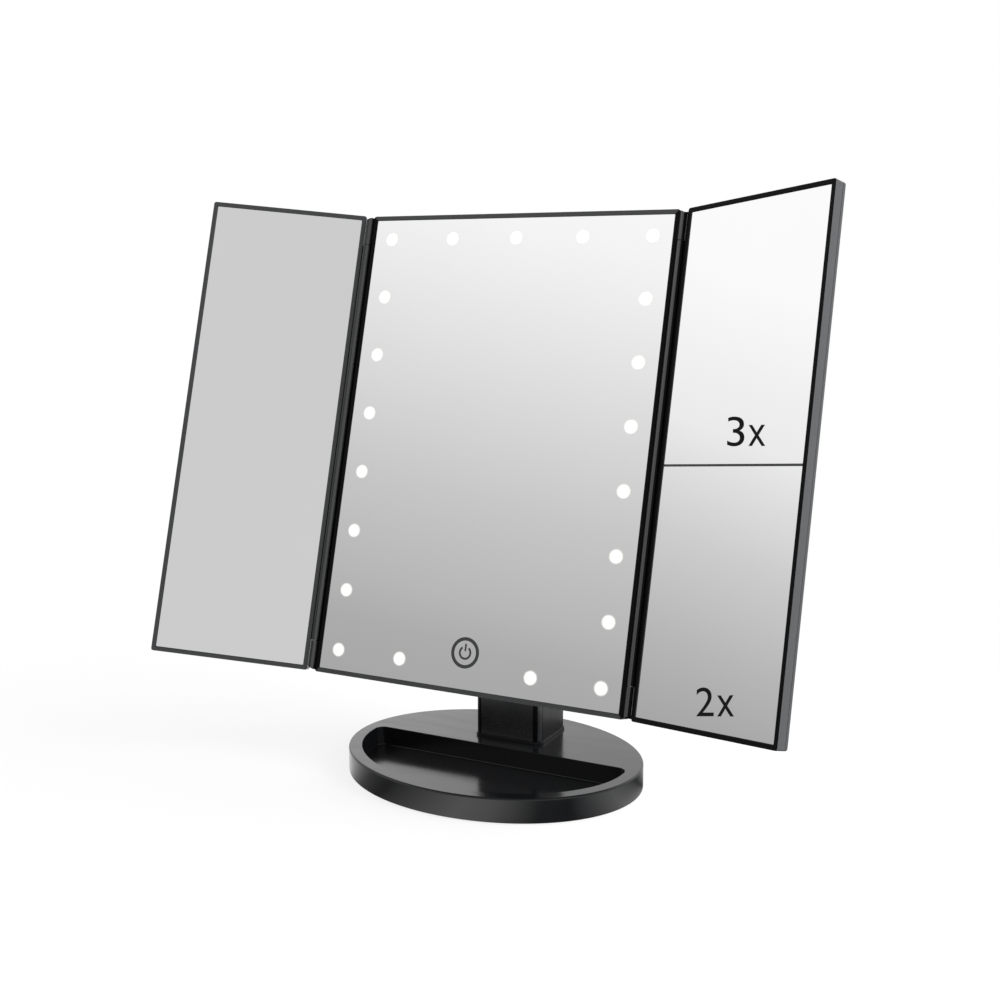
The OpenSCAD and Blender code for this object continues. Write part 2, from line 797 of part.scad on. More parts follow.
module panel_frame() color("#1b1c1e") on_panel() {
    difference() {
        union() {
            rim_and_floor(-panel_w / 2, panel_w, 0, cover_front);
            hinge_guards();
            for (p = PANEL_SCREWS)
                rod_y(p[0], p[1], boss_d, floor_back - lap, cover_front - floor_back + lap);
            at_knuckles() knuckle();
        }
        at_lights() through_floor(0, light_d + 2 * light_play);
        through_floor(touch_z, post_d + 2 * post_play);
        for (p = PANEL_SCREWS) rod_y(p[0], p[1], screw_d, floor_front + screw_skin, panel_t);
        at_hinge_pins() pin_bore(0, hinge_pin_l / 2);
    }
}

// Hole through the floor, on the panel's middle line
module through_floor(z, d) {
    rod_y(0, z, d, floor_front - over, floor_t + 2 * over);
}

// Places of the hinge pins on the panel
module at_hinge_pins() {
    for (side = [-1, 1], z = pin_z) translate([side * hinge_x, -hinge_set, z]) children();
}

module pin_bore(play, half) {
    translate([0, 0, -half]) cylinder(h = 2 * half, d = hinge_pin_d + 2 * play);
}

module hinge_pins() color("#9fa2a4") on_panel() at_hinge_pins() pin_bore(0, hinge_pin_l / 2);

module panel_cover() color("#1b1c1e") on_panel() {
    difference() {
        union() {
            cover(-panel_w / 2, panel_w, cover_front);
            for (p = BRACKET_SCREWS) rod_y(p[0], p[1], boss_d, floor_back + lap, cover_front - floor_back);
        }
        for (p = PANEL_SCREWS) {
            rod_y(p[0], p[1], screw_d, 0, panel_t + over);
            rod_y(p[0], p[1], head_d + head_play, panel_t - head_h, head_h + over);
        }
        for (p = BRACKET_SCREWS) rod_y(p[0], p[1], screw_d, bracket_screw_end, panel_t);
    }
}

module panel_screws() color("#a7a9ab") on_panel() {
    for (p = PANEL_SCREWS)
        screw_y(p[0], p[1], panel_t - head_h, panel_t - head_h - floor_front - screw_skin);
}

module panel_mirror() color("#cfd6da") on_panel() {
    difference() {
        glass(rim - panel_w / 2, rim, panel_w - 2 * rim, panel_h - 2 * rim, 0);
        at_lights() rod_y(0, 0, light_d, 0, floor_front);
        touch_outline();
    }
}

module panel_tape() color("#ececea") on_panel() {
    z0 = touch_z + touch_d;
    for (i = [0:tape_strips - 1])
        tape((i + 0.5) * tape_step - light_x + light_d / 2, z0, light_top - light_d - z0, glass_back);
}

module light_windows() color("white") on_panel() at_lights() rod_y(0, 0, light_d, glass_set, glass_t);

module light_board() color("#f0f0ec") on_panel() {
    difference() {
        light_ring(board_w / 2, floor_back, board_t);
        light_ring(-board_w / 2, floor_back - over, board_t + 2 * over);
    }
}

// Slab as large as the rectangle through the lights, grown by edge on each side
module light_ring(edge, y, t) {
    w = 2 * (light_x + edge);
    h = light_top - light_end + 2 * edge;
    slab(-w / 2, light_end - edge, w, h, y, t, 1);
}

module light_chips() color("#f4e9a6") on_panel() at_lights()
    translate([-chip[0] / 2, floor_back - chip[2], -chip[1] / 2]) cube([chip[0], chip[2], chip[1]]);

// Round line of the given outer diameter and width, from one angle to another
module round_line(d, line, from, to) {
    rotate(from) rotate_extrude(angle = to - from) translate([d / 2 - line, 0]) square([line, touch_cut]);
}

// Ring, open circle and bar of the power sign, cut into the front of the glass
module touch_outline() {
    translate([0, glass_set + touch_cut, touch_z]) rotate([90, 0, 0]) {
        difference() {
            cylinder(h = touch_cut, d = touch_d);
            translate([0, 0, -over]) cylinder(h = touch_cut + 2 * over, d = touch_d - 2 * touch_line);
        }
        round_line(2 * sign_r + sign_line, sign_line, 125, 415);
        translate([-sign_line / 2, sign_r / 4, 0]) cube([sign_line, sign_bar, touch_cut]);
    }
}

module touch_sign() color("#4a4c4e") on_panel() touch_outline();

// Foil on the back of the glass with the post that joins it to its board
module touch_pad() color("#b87333") on_panel() {
    rod_y(0, touch_z, touch_d, glass_back, foil_t);
    rod_y(0, touch_z, post_d, glass_back, floor_back - glass_back);
}

module touch_board() color("#1f6b3a") on_panel()
    slab(-touch_d, light_end + board_w / 2 + board_gap, 2 * touch_d, touch_d, floor_back, board_t, 1);

// ---- Tilt hinge ----

module ear_plan() {
    translate([pivot_back, pivot_up]) circle(d = ear_d);
    polygon([
        [panel_t, pivot_up - bracket_h / 2 + head_d],
        [pivot_back, pivot_up - ear_d / 2],
        [pivot_back, pivot_up + ear_d / 2],
        [panel_t, pivot_up + bracket_h / 2 - head_d]
    ]);
}

module at_pivot() {
    on_panel() translate([0, pivot_back, pivot_up]) children();
}

module tilt_bracket() color("#1b1c1e") {
    difference() {
        on_panel() {
            slab(-bracket_w / 2, pivot_up - bracket_h / 2, bracket_w, bracket_h, panel_t, bracket_t, 3);
            for (x = [-ear_in - ear_t, ear_in])
                translate([x, 0, 0]) rotate([90, 0, 90]) linear_extrude(ear_t) ear_plan();
            translate([-ear_in - lap, panel_t + bracket_t - lap, pivot_up - ear_d / 2])
                cube([2 * (ear_in + lap), web_t + lap, ear_d]);
        }
        at_pivot() rod_x(tilt_pin_d, 4 * neck_w);
        on_panel() for (p = BRACKET_SCREWS) rod_y(p[0], p[1], screw_d, 0, 2 * panel_t);
    }
}

module bracket_screws() color("#a7a9ab") on_panel() {
    for (p = BRACKET_SCREWS)
        screw_y(p[0], p[1], panel_t + bracket_t, panel_t + bracket_t - bracket_screw_end);
}

module tilt_pin() color("#9fa2a4") at_pivot() rod_x(tilt_pin_d, 2 * (ear_in + ear_t));

module tilt_washers() color("#d8d8d2") at_pivot()
    for (side = [-1, 1]) translate([side * (ear_in - washer_t / 2), 0, 0]) difference() {
        rod_x(washer_d, washer_t);
        rod_x(tilt_pin_d, 2 * washer_t);
    }

module tilt_caps() color("#17181a") at_pivot()
    for (side = [-1, 1]) translate([side * (ear_in + ear_t + pin_cap_t / 2), 0, 0])
        rod_x(pin_cap_d, pin_cap_t);

// ---- Wings ----

// The same for both wings, drawn outward from the hinge axis along X
module wing_frame(divided) {
    difference() {
        union() {
            rim_and_floor(hinge_gap, wing_w, hinge_set, wing_cover_front);
            barrel(wing_barrel_z0, wing_barrel_l);
            if (divided)
                slab(hinge_gap + rim, divider_low, wing_w - 2 * rim, divider_w,
                    hinge_set + glass_set, floor_front - glass_set + lap);
        }
        for (z = pin_z) translate([0, 0, z]) pin_bore(pin_play, hinge_pin_l / 2 + pin_end_play);
    }
}

module wing_cover() {
    cover(hinge_gap, wing_w, hinge_set + wing_cover_front);
}

// Glass of a wing from height z0 to z1
module wing_glass(z0, z1) {
    glass(hinge_gap + rim, z0, wing_w - 2 * rim, z1 - z0, hinge_set);
}

module wing_tape(z0, z1) {
    for (k = [1, 3])
        tape(hinge_gap + k * wing_w / 4, z0 + tape_w / 2, z1 - z0 - tape_w, hinge_set + glass_back);
}

module left_frame() color("#232426") on_left() wing_frame(false);
module left_cover() color("#232426") on_left() wing_cover();
module left_mirror() color("#cfd6da") on_left() wing_glass(rim, panel_h - rim);
module left_tape() color("#ececea") on_left() wing_tape(rim, panel_h - rim);

module right_frame() color("#1b1c1e") on_right() wing_frame(true);
module right_cover() color("#1b1c1e") on_right() wing_cover();
module right_mirror_3x() color("#dfe5e8") on_right() wing_glass(divider_high, panel_h - rim);
module right_mirror_2x() color("#cfd6da") on_right() wing_glass(rim, divider_low);
module right_tape() color("#ececea") on_right() {
    wing_tape(rim, divider_low);
    wing_tape(divider_high, panel_h - rim);
}

// ---- Nodes ----

base_shell();
base_plate();
base_weight();
base_feet();
base_screws();
neck_foot();
neck_front();
neck_rear();
neck_screws();
battery_cells();
battery_contacts();
port_board();
power_socket();
switch_body();
battery_door();
switch_knob();
panel_frame();
panel_cover();
panel_screws();
panel_mirror();
panel_tape();
light_windows();
touch_sign();
touch_pad();
touch_board();
light_board();
light_chips();
tilt_bracket();
bracket_screws();
tilt_pin();
tilt_washers();
tilt_caps();
hinge_pins();
left_frame();
left_cover();
left_mirror();
left_tape();
right_frame();
right_cover();
right_mirror_3x();
right_mirror_2x();
right_tape();
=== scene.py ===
import json
import math

import bpy
from mathutils import Matrix, Vector

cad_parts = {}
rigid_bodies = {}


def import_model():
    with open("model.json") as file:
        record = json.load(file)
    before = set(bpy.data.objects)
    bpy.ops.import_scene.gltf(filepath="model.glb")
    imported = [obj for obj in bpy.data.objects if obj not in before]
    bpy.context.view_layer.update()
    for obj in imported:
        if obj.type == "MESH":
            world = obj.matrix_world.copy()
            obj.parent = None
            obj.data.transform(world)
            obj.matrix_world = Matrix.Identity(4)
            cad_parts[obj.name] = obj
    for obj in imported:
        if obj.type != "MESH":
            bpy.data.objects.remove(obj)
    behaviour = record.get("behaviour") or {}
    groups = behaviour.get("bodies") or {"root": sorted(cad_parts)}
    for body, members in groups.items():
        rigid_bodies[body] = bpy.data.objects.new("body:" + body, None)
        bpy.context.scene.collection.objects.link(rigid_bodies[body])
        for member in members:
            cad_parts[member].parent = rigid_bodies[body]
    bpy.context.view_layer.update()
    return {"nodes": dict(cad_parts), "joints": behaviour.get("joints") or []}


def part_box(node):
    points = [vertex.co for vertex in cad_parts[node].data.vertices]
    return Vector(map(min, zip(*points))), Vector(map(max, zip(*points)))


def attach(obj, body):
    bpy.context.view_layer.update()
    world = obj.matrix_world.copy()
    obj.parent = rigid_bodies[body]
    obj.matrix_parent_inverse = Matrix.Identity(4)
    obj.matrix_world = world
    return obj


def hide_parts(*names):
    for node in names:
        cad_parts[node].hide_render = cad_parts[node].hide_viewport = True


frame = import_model()
mm = 0.001
joints = {joint["name"]: joint for joint in frame["joints"]}


# Selecting, shaping and finishing of pieces
facing = 0.9  # a face whose normal reaches this along an axis counts as facing that way
# Distances in mm within which points count as one, and angles in degrees
meshWork = {"near": 0.01, "cadMerge": 0.002, "cadFlat": 0.5, "merge": 0.001, "smoothTo": 32}


def setMode(mode):
    bpy.ops.object.mode_set(mode=mode)


def applyPlace():
    bpy.ops.object.transform_apply(location=True, rotation=True, scale=True)


def deselectAll():
    if bpy.context.object and bpy.context.object.mode != "OBJECT":
        setMode("OBJECT")
    bpy.ops.object.select_all(action="DESELECT")


def selectOnly(piece):
    deselectAll()
    piece.select_set(True)
    bpy.context.view_layer.objects.active = piece


def addBlock(name, low, high):
    deselectAll()
    middle = [(a + b) / 2 * mm for a, b in zip(low, high)]
    size = [abs(b - a) * mm for a, b in zip(low, high)]
    bpy.ops.mesh.primitive_cube_add(size=1, location=middle, scale=size)
    return keepPlace(name)


def addRod(name, middle, radius, length, turn=(0, 0, 0), sides=48):
    deselectAll()
    bpy.ops.mesh.primitive_cylinder_add(vertices=sides, radius=radius * mm, depth=length * mm,
                                        location=[v * mm for v in middle], rotation=turn)
    return keepPlace(name)


def keepPlace(name):
    applyPlace()
    bpy.context.object.name = name
    return bpy.context.object


def dropPicks(piece, kind):
    selectOnly(piece)
    setMode("EDIT")
    bpy.ops.mesh.select_mode(type=kind)
    bpy.ops.mesh.select_all(action="DESELECT")
    setMode("OBJECT")


def pickFaces(piece, test):
    # test gets a face's middle in mm and its normal
    dropPicks(piece, "FACE")
    for face in piece.data.polygons:
        face.select = bool(test(face.center / mm, face.normal))
    setMode("EDIT")


def pickEdges(piece, test):
    # test gets both ends of an edge in mm
    dropPicks(piece, "EDGE")
    points = [vertex.co / mm for vertex in piece.data.vertices]
    for edge in piece.data.edges:
        edge.select = bool(test(points[edge.vertices[0]], points[edge.vertices[1]]))
    setMode("EDIT")


def pickAll(piece):
    selectOnly(piece)
    setMode("EDIT")
    bpy.ops.mesh.select_all(action="SELECT")


def near(a, b):
    return abs(a - b) < meshWork["near"]


def extrudeBy(shift):
    bpy.ops.mesh.extrude_region_move(TRANSFORM_OT_translate={"value": [v * mm for v in shift]})


def bevelPicked(width, steps=1):
    bpy.ops.mesh.bevel(offset=width * mm, offset_type="OFFSET", segments=steps, profile=0.5,
                       affect="EDGES")
    setMode("OBJECT")


def softenEdges(piece, width, steps=2, fromAngle=40):
    selectOnly(piece)
    bpy.ops.object.modifier_add(type="BEVEL")
    soft = piece.modifiers[-1]
    soft.width, soft.segments = width * mm, steps
    soft.limit_method, soft.angle_limit = "ANGLE", math.radians(fromAngle)
    soft.use_clamp_overlap = True
    bpy.ops.object.modifier_apply(modifier=soft.name)


def cutAway(piece, tool):
    selectOnly(piece)
    bpy.ops.object.modifier_add(type="BOOLEAN")
    cut = piece.modifiers[-1]
    cut.operation, cut.solver, cut.object = "DIFFERENCE", "EXACT", tool
    bpy.ops.object.modifier_apply(modifier=cut.name)
    bpy.data.objects.remove(tool)


def copyBy(piece, shift):
    selectOnly(piece)
    bpy.ops.object.duplicate()
    bpy.ops.transform.translate(value=[v * mm for v in shift])
    applyPlace()
    return bpy.context.object


def joinPieces(name, pieces):
    deselectAll()
    for piece in pieces:
        piece.select_set(True)
    bpy.context.view_layer.objects.active = pieces[0]
    bpy.ops.object.join()
    bpy.context.object.name = name
    return bpy.context.object


def copyOfNode(name, node):
    # A merged copy of a CAD node, whose own mesh is loose triangles, without its marks and materials
    selectOnly(frame["nodes"][node])
    bpy.ops.object.duplicate()
    piece = bpy.context.object
    piece.name = name
    bpy.ops.object.parent_clear(type="CLEAR_KEEP_TRANSFORM")
    for key in [k for k in piece.keys() if k.startswith("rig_")]:
        del piece[key]
    bpy.ops.mesh.customdata_custom_splitnormals_clear()
    piece.data.materials.clear()
    pickAll(piece)
    bpy.ops.mesh.remove_doubles(threshold=meshWork["cadMerge"] * mm)
    bpy.ops.mesh.dissolve_limited(angle_limit=math.radians(meshWork["cadFlat"]))
    setMode("OBJECT")
    return piece


def dress(piece, finish, test=None):
    # The whole piece, or the faces that pass the test, get the finish
    piece.data.materials.append(finish)
    for face in piece.data.polygons:
        if test is None or test(face.center / mm, face.normal):
            face.material_index = len(piece.data.materials) - 1
    return piece


def finishPiece(piece, body, finish, nodes=(), place=None):
    # Finished pieces lie in their mesh, with the object itself at the origin
    # A piece that is already dressed gets no finish here
    selectOnly(piece)
    if place is not None:
        piece.matrix_world = place @ piece.matrix_world
    applyPlace()
    setMode("EDIT")
    bpy.ops.mesh.select_mode(type="VERT")
    bpy.ops.mesh.select_all(action="SELECT")
    bpy.ops.mesh.remove_doubles(threshold=meshWork["merge"] * mm)
    bpy.ops.mesh.normals_make_consistent(inside=False)
    setMode("OBJECT")
    bpy.ops.object.shade_smooth_by_angle(angle=math.radians(meshWork["smoothTo"]))
    # Large flat faces stay flat to the light beside their soft edges
    bpy.ops.object.modifier_add(type="WEIGHTED_NORMAL")
    piece.modifiers[-1].keep_sharp = True
    bpy.ops.object.modifier_apply(modifier=piece.modifiers[-1].name)
    if finish is not None:
        piece.data.materials.clear()
        piece.data.materials.append(finish)
    if nodes:
        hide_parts(*nodes)
    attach(piece, body)


# Materials
noises = {"cloudDetail": 3.0, "grainDetail": 2.0, "cloudSpread": (0.3, 0.7)}  # a cloud's usual span


def linearColour(hexCode):
    # The sRGB curve turned round, and an alpha of 1
    parts = [int(hexCode[i:i + 2], 16) / 255 for i in (1, 3, 5)]
    return [p / 12.92 if p <= 0.04045 else ((p + 0.055) / 1.055) ** 2.4 for p in parts] + [1]


def addNode(tree, kind, settings=None, links=None):
    node = tree.nodes.new(kind)
    for name, value in (settings or {}).items():
        if isinstance(name, int) or name in node.inputs:
            node.inputs[name].default_value = value
        else:
            setattr(node, name, value)
    for name, source in (links or {}).items():
        tree.links.new(source, node.inputs[name])
    return node


def makeFinish(look):
    # Two close colours, a roughness that drifts and a fine relief, each at the size of the real grain
    material = bpy.data.materials.new(look["name"])
    material.use_nodes = True
    tree = material.node_tree
    tree.nodes.clear()
    where = addNode(tree, "ShaderNodeTexCoord")
    stretched = addNode(tree, "ShaderNodeMapping", {"Scale": look.get("stretch", (1, 1, 1))},
                        {"Vector": where.outputs["Object"]})
    cloud = addNode(tree, "ShaderNodeTexNoise",
                    {"Scale": 1 / (look["cloudMm"] * mm), "Detail": noises["cloudDetail"]},
                    {"Vector": stretched.outputs["Vector"]})
    grain = addNode(tree, "ShaderNodeTexNoise",
                    {"Scale": 1 / (look["grainMm"] * mm), "Detail": noises["grainDetail"]},
                    {"Vector": stretched.outputs["Vector"]})
    first, second = [linearColour(hexCode) for hexCode in look["colours"]]
    colour = addNode(tree, "ShaderNodeMix", {"data_type": "RGBA", 6: first, 7: second},
                     {0: cloud.outputs["Fac"]})
    smoothest, roughest = look["roughness"]
    rough = addNode(tree, "ShaderNodeMapRange",
                    {"From Min": noises["cloudSpread"][0], "From Max": noises["cloudSpread"][1],
                     "To Min": smoothest, "To Max": roughest}, {"Value": cloud.outputs["Fac"]})
    relief = addNode(tree, "ShaderNodeBump", {"Strength": 1.0, "Distance": look["reliefMm"] * mm},
                     {"Height": grain.outputs["Fac"]})
    shader = addNode(tree, "ShaderNodeBsdfPrincipled", look.get("shader", {}),
                     {"Base Color": colour.outputs[2], "Roughness": rough.outputs["Result"],
                      "Normal": relief.outputs["Normal"]})
    addNode(tree, "ShaderNodeOutputMaterial", {}, {"Surface": shader.outputs["BSDF"]})
    return material


# Gloss black ABS of the covers and the left hinge's rods: moulded in a polished tool, near black
# with a thin clean sheen
frameAbs = makeFinish({"name": "blackAbsFrame", "colours": ("#17181a", "#1b1c1e"), "cloudMm": 30,
                       "grainMm": 1.6, "reliefMm": 0.0015, "roughness": (0.26, 0.34),
                       "shader": {"IOR": 1.53, "Specular IOR Level": 0.5}})
# A darker copy of the same plastic, low in shine: painted shade on the right wing, beside the
# hinges, on the right rods' sides, on the webs and guards behind the rods and along the neck's
# front corners, where it looks black
paintedShadeAbs = makeFinish({"name": "blackAbsPaintedShade", "colours": ("#070708", "#0a0a0b"), "cloudMm": 30,
                      "grainMm": 1.6, "reliefMm": 0.0015, "roughness": (0.3, 0.38),
                      "shader": {"IOR": 1.53, "Specular IOR Level": 0.08}})
# A lighter charcoal copy of the frame plastic on the centre and the left wing, and on the rib:
# painted light, a soft charcoal line round the glass
paintedLightAbs = makeFinish({"name": "charcoalAbsPaintedLight", "colours": ("#404143", "#454648"), "cloudMm": 30,
                      "grainMm": 1.6, "reliefMm": 0.0015, "roughness": (0.28, 0.36),
                      "shader": {"IOR": 1.53, "Specular IOR Level": 0.5}})
# Outer sides of the wings, lighter than the frames as painted light: an even slate grey with a
# brushed grain and a dull shine
paintedLightSideAbs = makeFinish({"name": "brushedGreyAbsPaintedLight", "colours": ("#57585a", "#5d5e60"), "cloudMm": 14,
                      "grainMm": 0.8, "reliefMm": 0.003, "roughness": (0.4, 0.5),
                      "stretch": (1, 1, 0.2), "shader": {"IOR": 1.53, "Specular IOR Level": 0.15}})
# Painted highlight on a strip of each hinge rod, glossier and lighter: it shows as a thin light
# line between the frames
paintedHighlightEnamel = makeFinish({"name": "blackEnamelPaintedHighlight", "colours": ("#2a2b2d", "#2f3032"), "cloudMm": 20,
                           "grainMm": 1.6, "reliefMm": 0.001, "roughness": (0.24, 0.3),
                           "shader": {"IOR": 1.53, "Specular IOR Level": 1.0}})
# Satin black ABS of the neck: fine spark-eroded skin that breaks highlights up softly
neckAbs = makeFinish({"name": "blackAbsSatin", "colours": ("#1c1d1f", "#212224"), "cloudMm": 24,
                      "grainMm": 0.5, "reliefMm": 0.004, "roughness": (0.34, 0.42),
                      "shader": {"IOR": 1.53, "Specular IOR Level": 0.5}})
# Its front is polished, and painted a little lighter as painted light, so that the tray and the
# floor show in it as a soft gradient
neckFrontPaintedLightAbs = makeFinish({"name": "blackAbsNeckFrontPaintedLight", "colours": ("#232426", "#28292b"),
                           "cloudMm": 24, "grainMm": 0.5, "reliefMm": 0.002,
                           "roughness": (0.22, 0.28),
                           "shader": {"IOR": 1.53, "Specular IOR Level": 1.0}})
# Its sides are a deeper black copy, low in shine: painted shade
neckSidePaintedShadeAbs = makeFinish({"name": "blackAbsNeckSidePaintedShade", "colours": ("#0c0c0d", "#101011"),
                          "cloudMm": 24, "grainMm": 0.5, "reliefMm": 0.002,
                          "roughness": (0.3, 0.38),
                          "shader": {"IOR": 1.53, "Specular IOR Level": 0.18}})
# Piano-gloss ABS of the base: wet-looking, with wipe marks that run along its length and dull it
# a little
baseAbs = makeFinish({"name": "blackAbsPolished", "colours": ("#17181a", "#1b1c1e"), "cloudMm": 6,
                      "grainMm": 2.5, "reliefMm": 0.0008, "roughness": (0.14, 0.2),
                      "stretch": (0.12, 1, 1), "shader": {"IOR": 1.5, "Specular IOR Level": 0.45}})
# Plain black polypropylene of the bottom plate, caps and knob: slightly greyer, waxy and soft
# in its shine
plainPp = makeFinish({"name": "blackPolypropylene", "colours": ("#1f2022", "#26272a"),
                      "cloudMm": 18, "grainMm": 0.6, "reliefMm": 0.008, "roughness": (0.45, 0.55),
                      "shader": {"IOR": 1.49}})
# Black rubber feet: matt and a little dusty
footRubber = makeFinish({"name": "blackRubber", "colours": ("#232323", "#2f2e2d"), "cloudMm": 5,
                         "grainMm": 0.4, "reliefMm": 0.03, "roughness": (0.75, 0.9),
                         "shader": {"IOR": 1.52}})
# Machined steel of screws and pins: turning marks that catch light as fine streaks
pinSteel = makeFinish({"name": "plainSteel", "colours": ("#9c9ea1", "#b4b6b8"), "cloudMm": 1.2,
                       "grainMm": 0.3, "reliefMm": 0.006, "roughness": (0.24, 0.4),
                       "stretch": (1, 1, 6), "shader": {"Metallic": 1.0}})
# Nickel-plated spring steel of the contacts and ports: bright and slightly yellow
contactNickel = makeFinish({"name": "nickelPlate", "colours": ("#c9c6bd", "#d8d5cc"), "cloudMm": 2,
                            "grainMm": 0.3, "reliefMm": 0.003, "roughness": (0.16, 0.26),
                            "shader": {"Metallic": 1.0}})
# Raw hot-rolled steel of the weight: blue-grey mill scale in blotches
weightSteel = makeFinish({"name": "millScaleSteel", "colours": ("#4d5157", "#74767a"), "cloudMm": 9,
                          "grainMm": 0.8, "reliefMm": 0.03, "roughness": (0.45, 0.65),
                          "shader": {"Metallic": 0.9}})
# Printed film on the dry cells: a plain blue-grey wrapper with a soft shine
cellFilm = makeFinish({"name": "cellWrapper", "colours": ("#41566b", "#4b627a"), "cloudMm": 12,
                       "grainMm": 1, "reliefMm": 0.004, "roughness": (0.25, 0.35),
                       "shader": {"IOR": 1.57}})
# Green solder mask on glass fibre: the weave of the cloth shows faintly through the lacquer
boardGreen = makeFinish({"name": "greenCircuitBoard", "colours": ("#14502e", "#1d6b3e"),
                         "cloudMm": 1.4, "grainMm": 0.7, "reliefMm": 0.01, "roughness": (0.3, 0.42),
                         "stretch": (1, 1, 3), "shader": {"IOR": 1.52}})
# White solder mask of the light board: matt, to throw the light forward
boardWhite = makeFinish({"name": "whiteCircuitBoard", "colours": ("#e6e6e0", "#efefea"),
                         "cloudMm": 2, "grainMm": 0.7, "reliefMm": 0.006, "roughness": (0.5, 0.6),
                         "shader": {"IOR": 1.52}})
# Phosphor in silicone over the light chips: egg-yolk yellow, cloudy
chipPhosphor = makeFinish({"name": "lightChipPhosphor", "colours": ("#efdc7a", "#f5e9a2"),
                           "cloudMm": 0.6, "grainMm": 0.2, "reliefMm": 0.004,
                           "roughness": (0.35, 0.5), "shader": {"IOR": 1.41}})
# Rolled copper foil behind the touch ring: warm, with rolling lines and first tarnish
touchCopper = makeFinish({"name": "copperFoil", "colours": ("#b87248", "#cb8a5e"), "cloudMm": 3,
                          "grainMm": 0.4, "reliefMm": 0.004, "roughness": (0.25, 0.4),
                          "stretch": (0.2, 1, 1), "shader": {"Metallic": 1.0}})
# Closed-cell polyethylene tape: white, dull, with bubbles under the skin
foamTape = makeFinish({"name": "whiteFoamTape", "colours": ("#dcdcd8", "#ecece8"), "cloudMm": 1.1,
                       "grainMm": 0.6, "reliefMm": 0.05, "roughness": (0.8, 0.92),
                       "shader": {"IOR": 1.5}})
# Natural nylon washers: milky white and slippery
washerNylon = makeFinish({"name": "naturalNylon", "colours": ("#d8d7cd", "#e3e2d9"), "cloudMm": 4,
                          "grainMm": 0.5, "reliefMm": 0.006, "roughness": (0.35, 0.45),
                          "shader": {"IOR": 1.53}})
# Silver behind polished float glass: a clear image, with only the faint drift of a wiped surface
mirrorSilver = makeFinish({"name": "silveredFloatGlass", "colours": ("#f9f9f9", "#fbfbfb"),
                           "cloudMm": 45, "grainMm": 60, "reliefMm": 0.0, "roughness": (0.0, 0.012),
                           "shader": {"Metallic": 1.0}})
# Ground and polished arris of the glass: pale green-grey, partly the glass edge's own colour and
# partly a painted highlight, a thin light line round each pane
arrisGlassAndHighlight = makeFinish({"name": "groundGlassEdgeAndPaintedHighlight", "colours": ("#aab6b1", "#bcc6c2"), "cloudMm": 3,
                         "grainMm": 0.4, "reliefMm": 0.006, "roughness": (0.3, 0.42),
                         "shader": {"IOR": 1.52}})
# Acid-etched windows lit from behind: even milk-white glow with a faint frost
window = {"glow": 0.9, "frost": 0.55}
litWindow = makeFinish({"name": "etchedLitGlass", "colours": ("#f1f1ee", "#fafaf8"), "cloudMm": 0.9,
                        "grainMm": 0.3, "reliefMm": 0.004, "roughness": (0.5, 0.6),
                        "shader": {"IOR": 1.52, "Emission Color": linearColour("#fffffb"),
                                   "Emission Strength": window["glow"]}})
# The etching fades out over the last stretch of each window, so its rim blends into the silver
tree = litWindow.node_tree
etched = addNode(tree, "ShaderNodeAttribute", {"attribute_name": "etched"}).outputs["Fac"]
windowShader = next(node for node in tree.nodes if node.type == "BSDF_PRINCIPLED")
for socket, rim, middle in (("Metallic", 1, 0), ("Roughness", 0, window["frost"]),
                            ("Emission Strength", 0, window["glow"])):
    fade = addNode(tree, "ShaderNodeMapRange", {"To Min": rim, "To Max": middle}, {"Value": etched})
    tree.links.new(fade.outputs["Result"], windowShader.inputs[socket])
# Touch ring and power sign: silver etched off, so the dark pad behind shows as matt grey
etchedSign = makeFinish({"name": "etchedGreySign", "colours": ("#3c3e40", "#46484a"),
                         "cloudMm": 1.5, "grainMm": 0.25, "reliefMm": 0.01,
                         "roughness": (0.5, 0.62), "shader": {"IOR": 1.52}})
# Screen-printed ink of the figures: flat near-black with a slight tooth
printedInk = makeFinish({"name": "screenPrintedInk", "colours": ("#080808", "#0c0c0d"),
                         "cloudMm": 0.8, "grainMm": 0.2, "reliefMm": 0.006,
                         "roughness": (0.5, 0.65),
                         "shader": {"IOR": 1.5, "Specular IOR Level": 0.15}})
print("materials made")

# Places of the panels: their own x runs to the right, y back from the front and z up along
# the mirror
panelUp = Vector(joints["left_fold"]["axis"])
panelBack = panelUp.cross(Vector((1, 0, 0)))
panelAxes = Matrix((Vector((1, 0, 0)), panelBack, panelUp)).transposed().to_4x4()
panels = {"width": 170, "wingWidth": 83.6, "height": 241.5, "corner": 1.2, "rim": 2.2,
          "glassFront": 0.5, "glassBack": 2.5, "floorFront": 2.9, "floorBack": 4.1,
          "frameBack": 7, "wingFrameBack": 5.3, "coverThick": 2,
          "edge": 0.3, "coverEdge": 0.6, "coverSoft": 0.12, "softFrom": 50, "sideFrom": 0.8}
# Each rod has a painted highlight strip between two directions in degrees, as seen along it
hinge = {"gap": 2.2, "set": 0.4, "radius": 1.8, "web": 1.2, "overlap": 0.2, "edge": 0.2,
         "knuckle": (0.8, 15.6), "slope": 25, "barrel": (15.9, 225.6),
         "guard": (2.0, 3.2), "guardReach": 1.2, "guardEdge": 0.15,
         "shine": {"left": (-99, -51), "right": (-94, -45)},
         "knuckleShine": {-1: (-78, -30), 1: (-118, -69)}}


def hingePlace(joint):
    axis = Vector(joints[joint]["axis"])
    turn = -joints[joint]["range_deg"][0] * (1 if axis.z > 0 else -1)
    return (Matrix.Translation(Vector(joints[joint]["pos_m"])) @ panelAxes
            @ Matrix.Rotation(math.radians(turn), 4, "Z"))


middleOfHinges = (Vector(joints["left_fold"]["pos_m"]) + Vector(joints["right_fold"]["pos_m"])) / 2
panelPlace = Matrix.Translation(middleOfHinges + panelBack * hinge["set"] * mm) @ panelAxes
wingPlaces = {"left": hingePlace("left_fold"), "right": hingePlace("right_fold")}


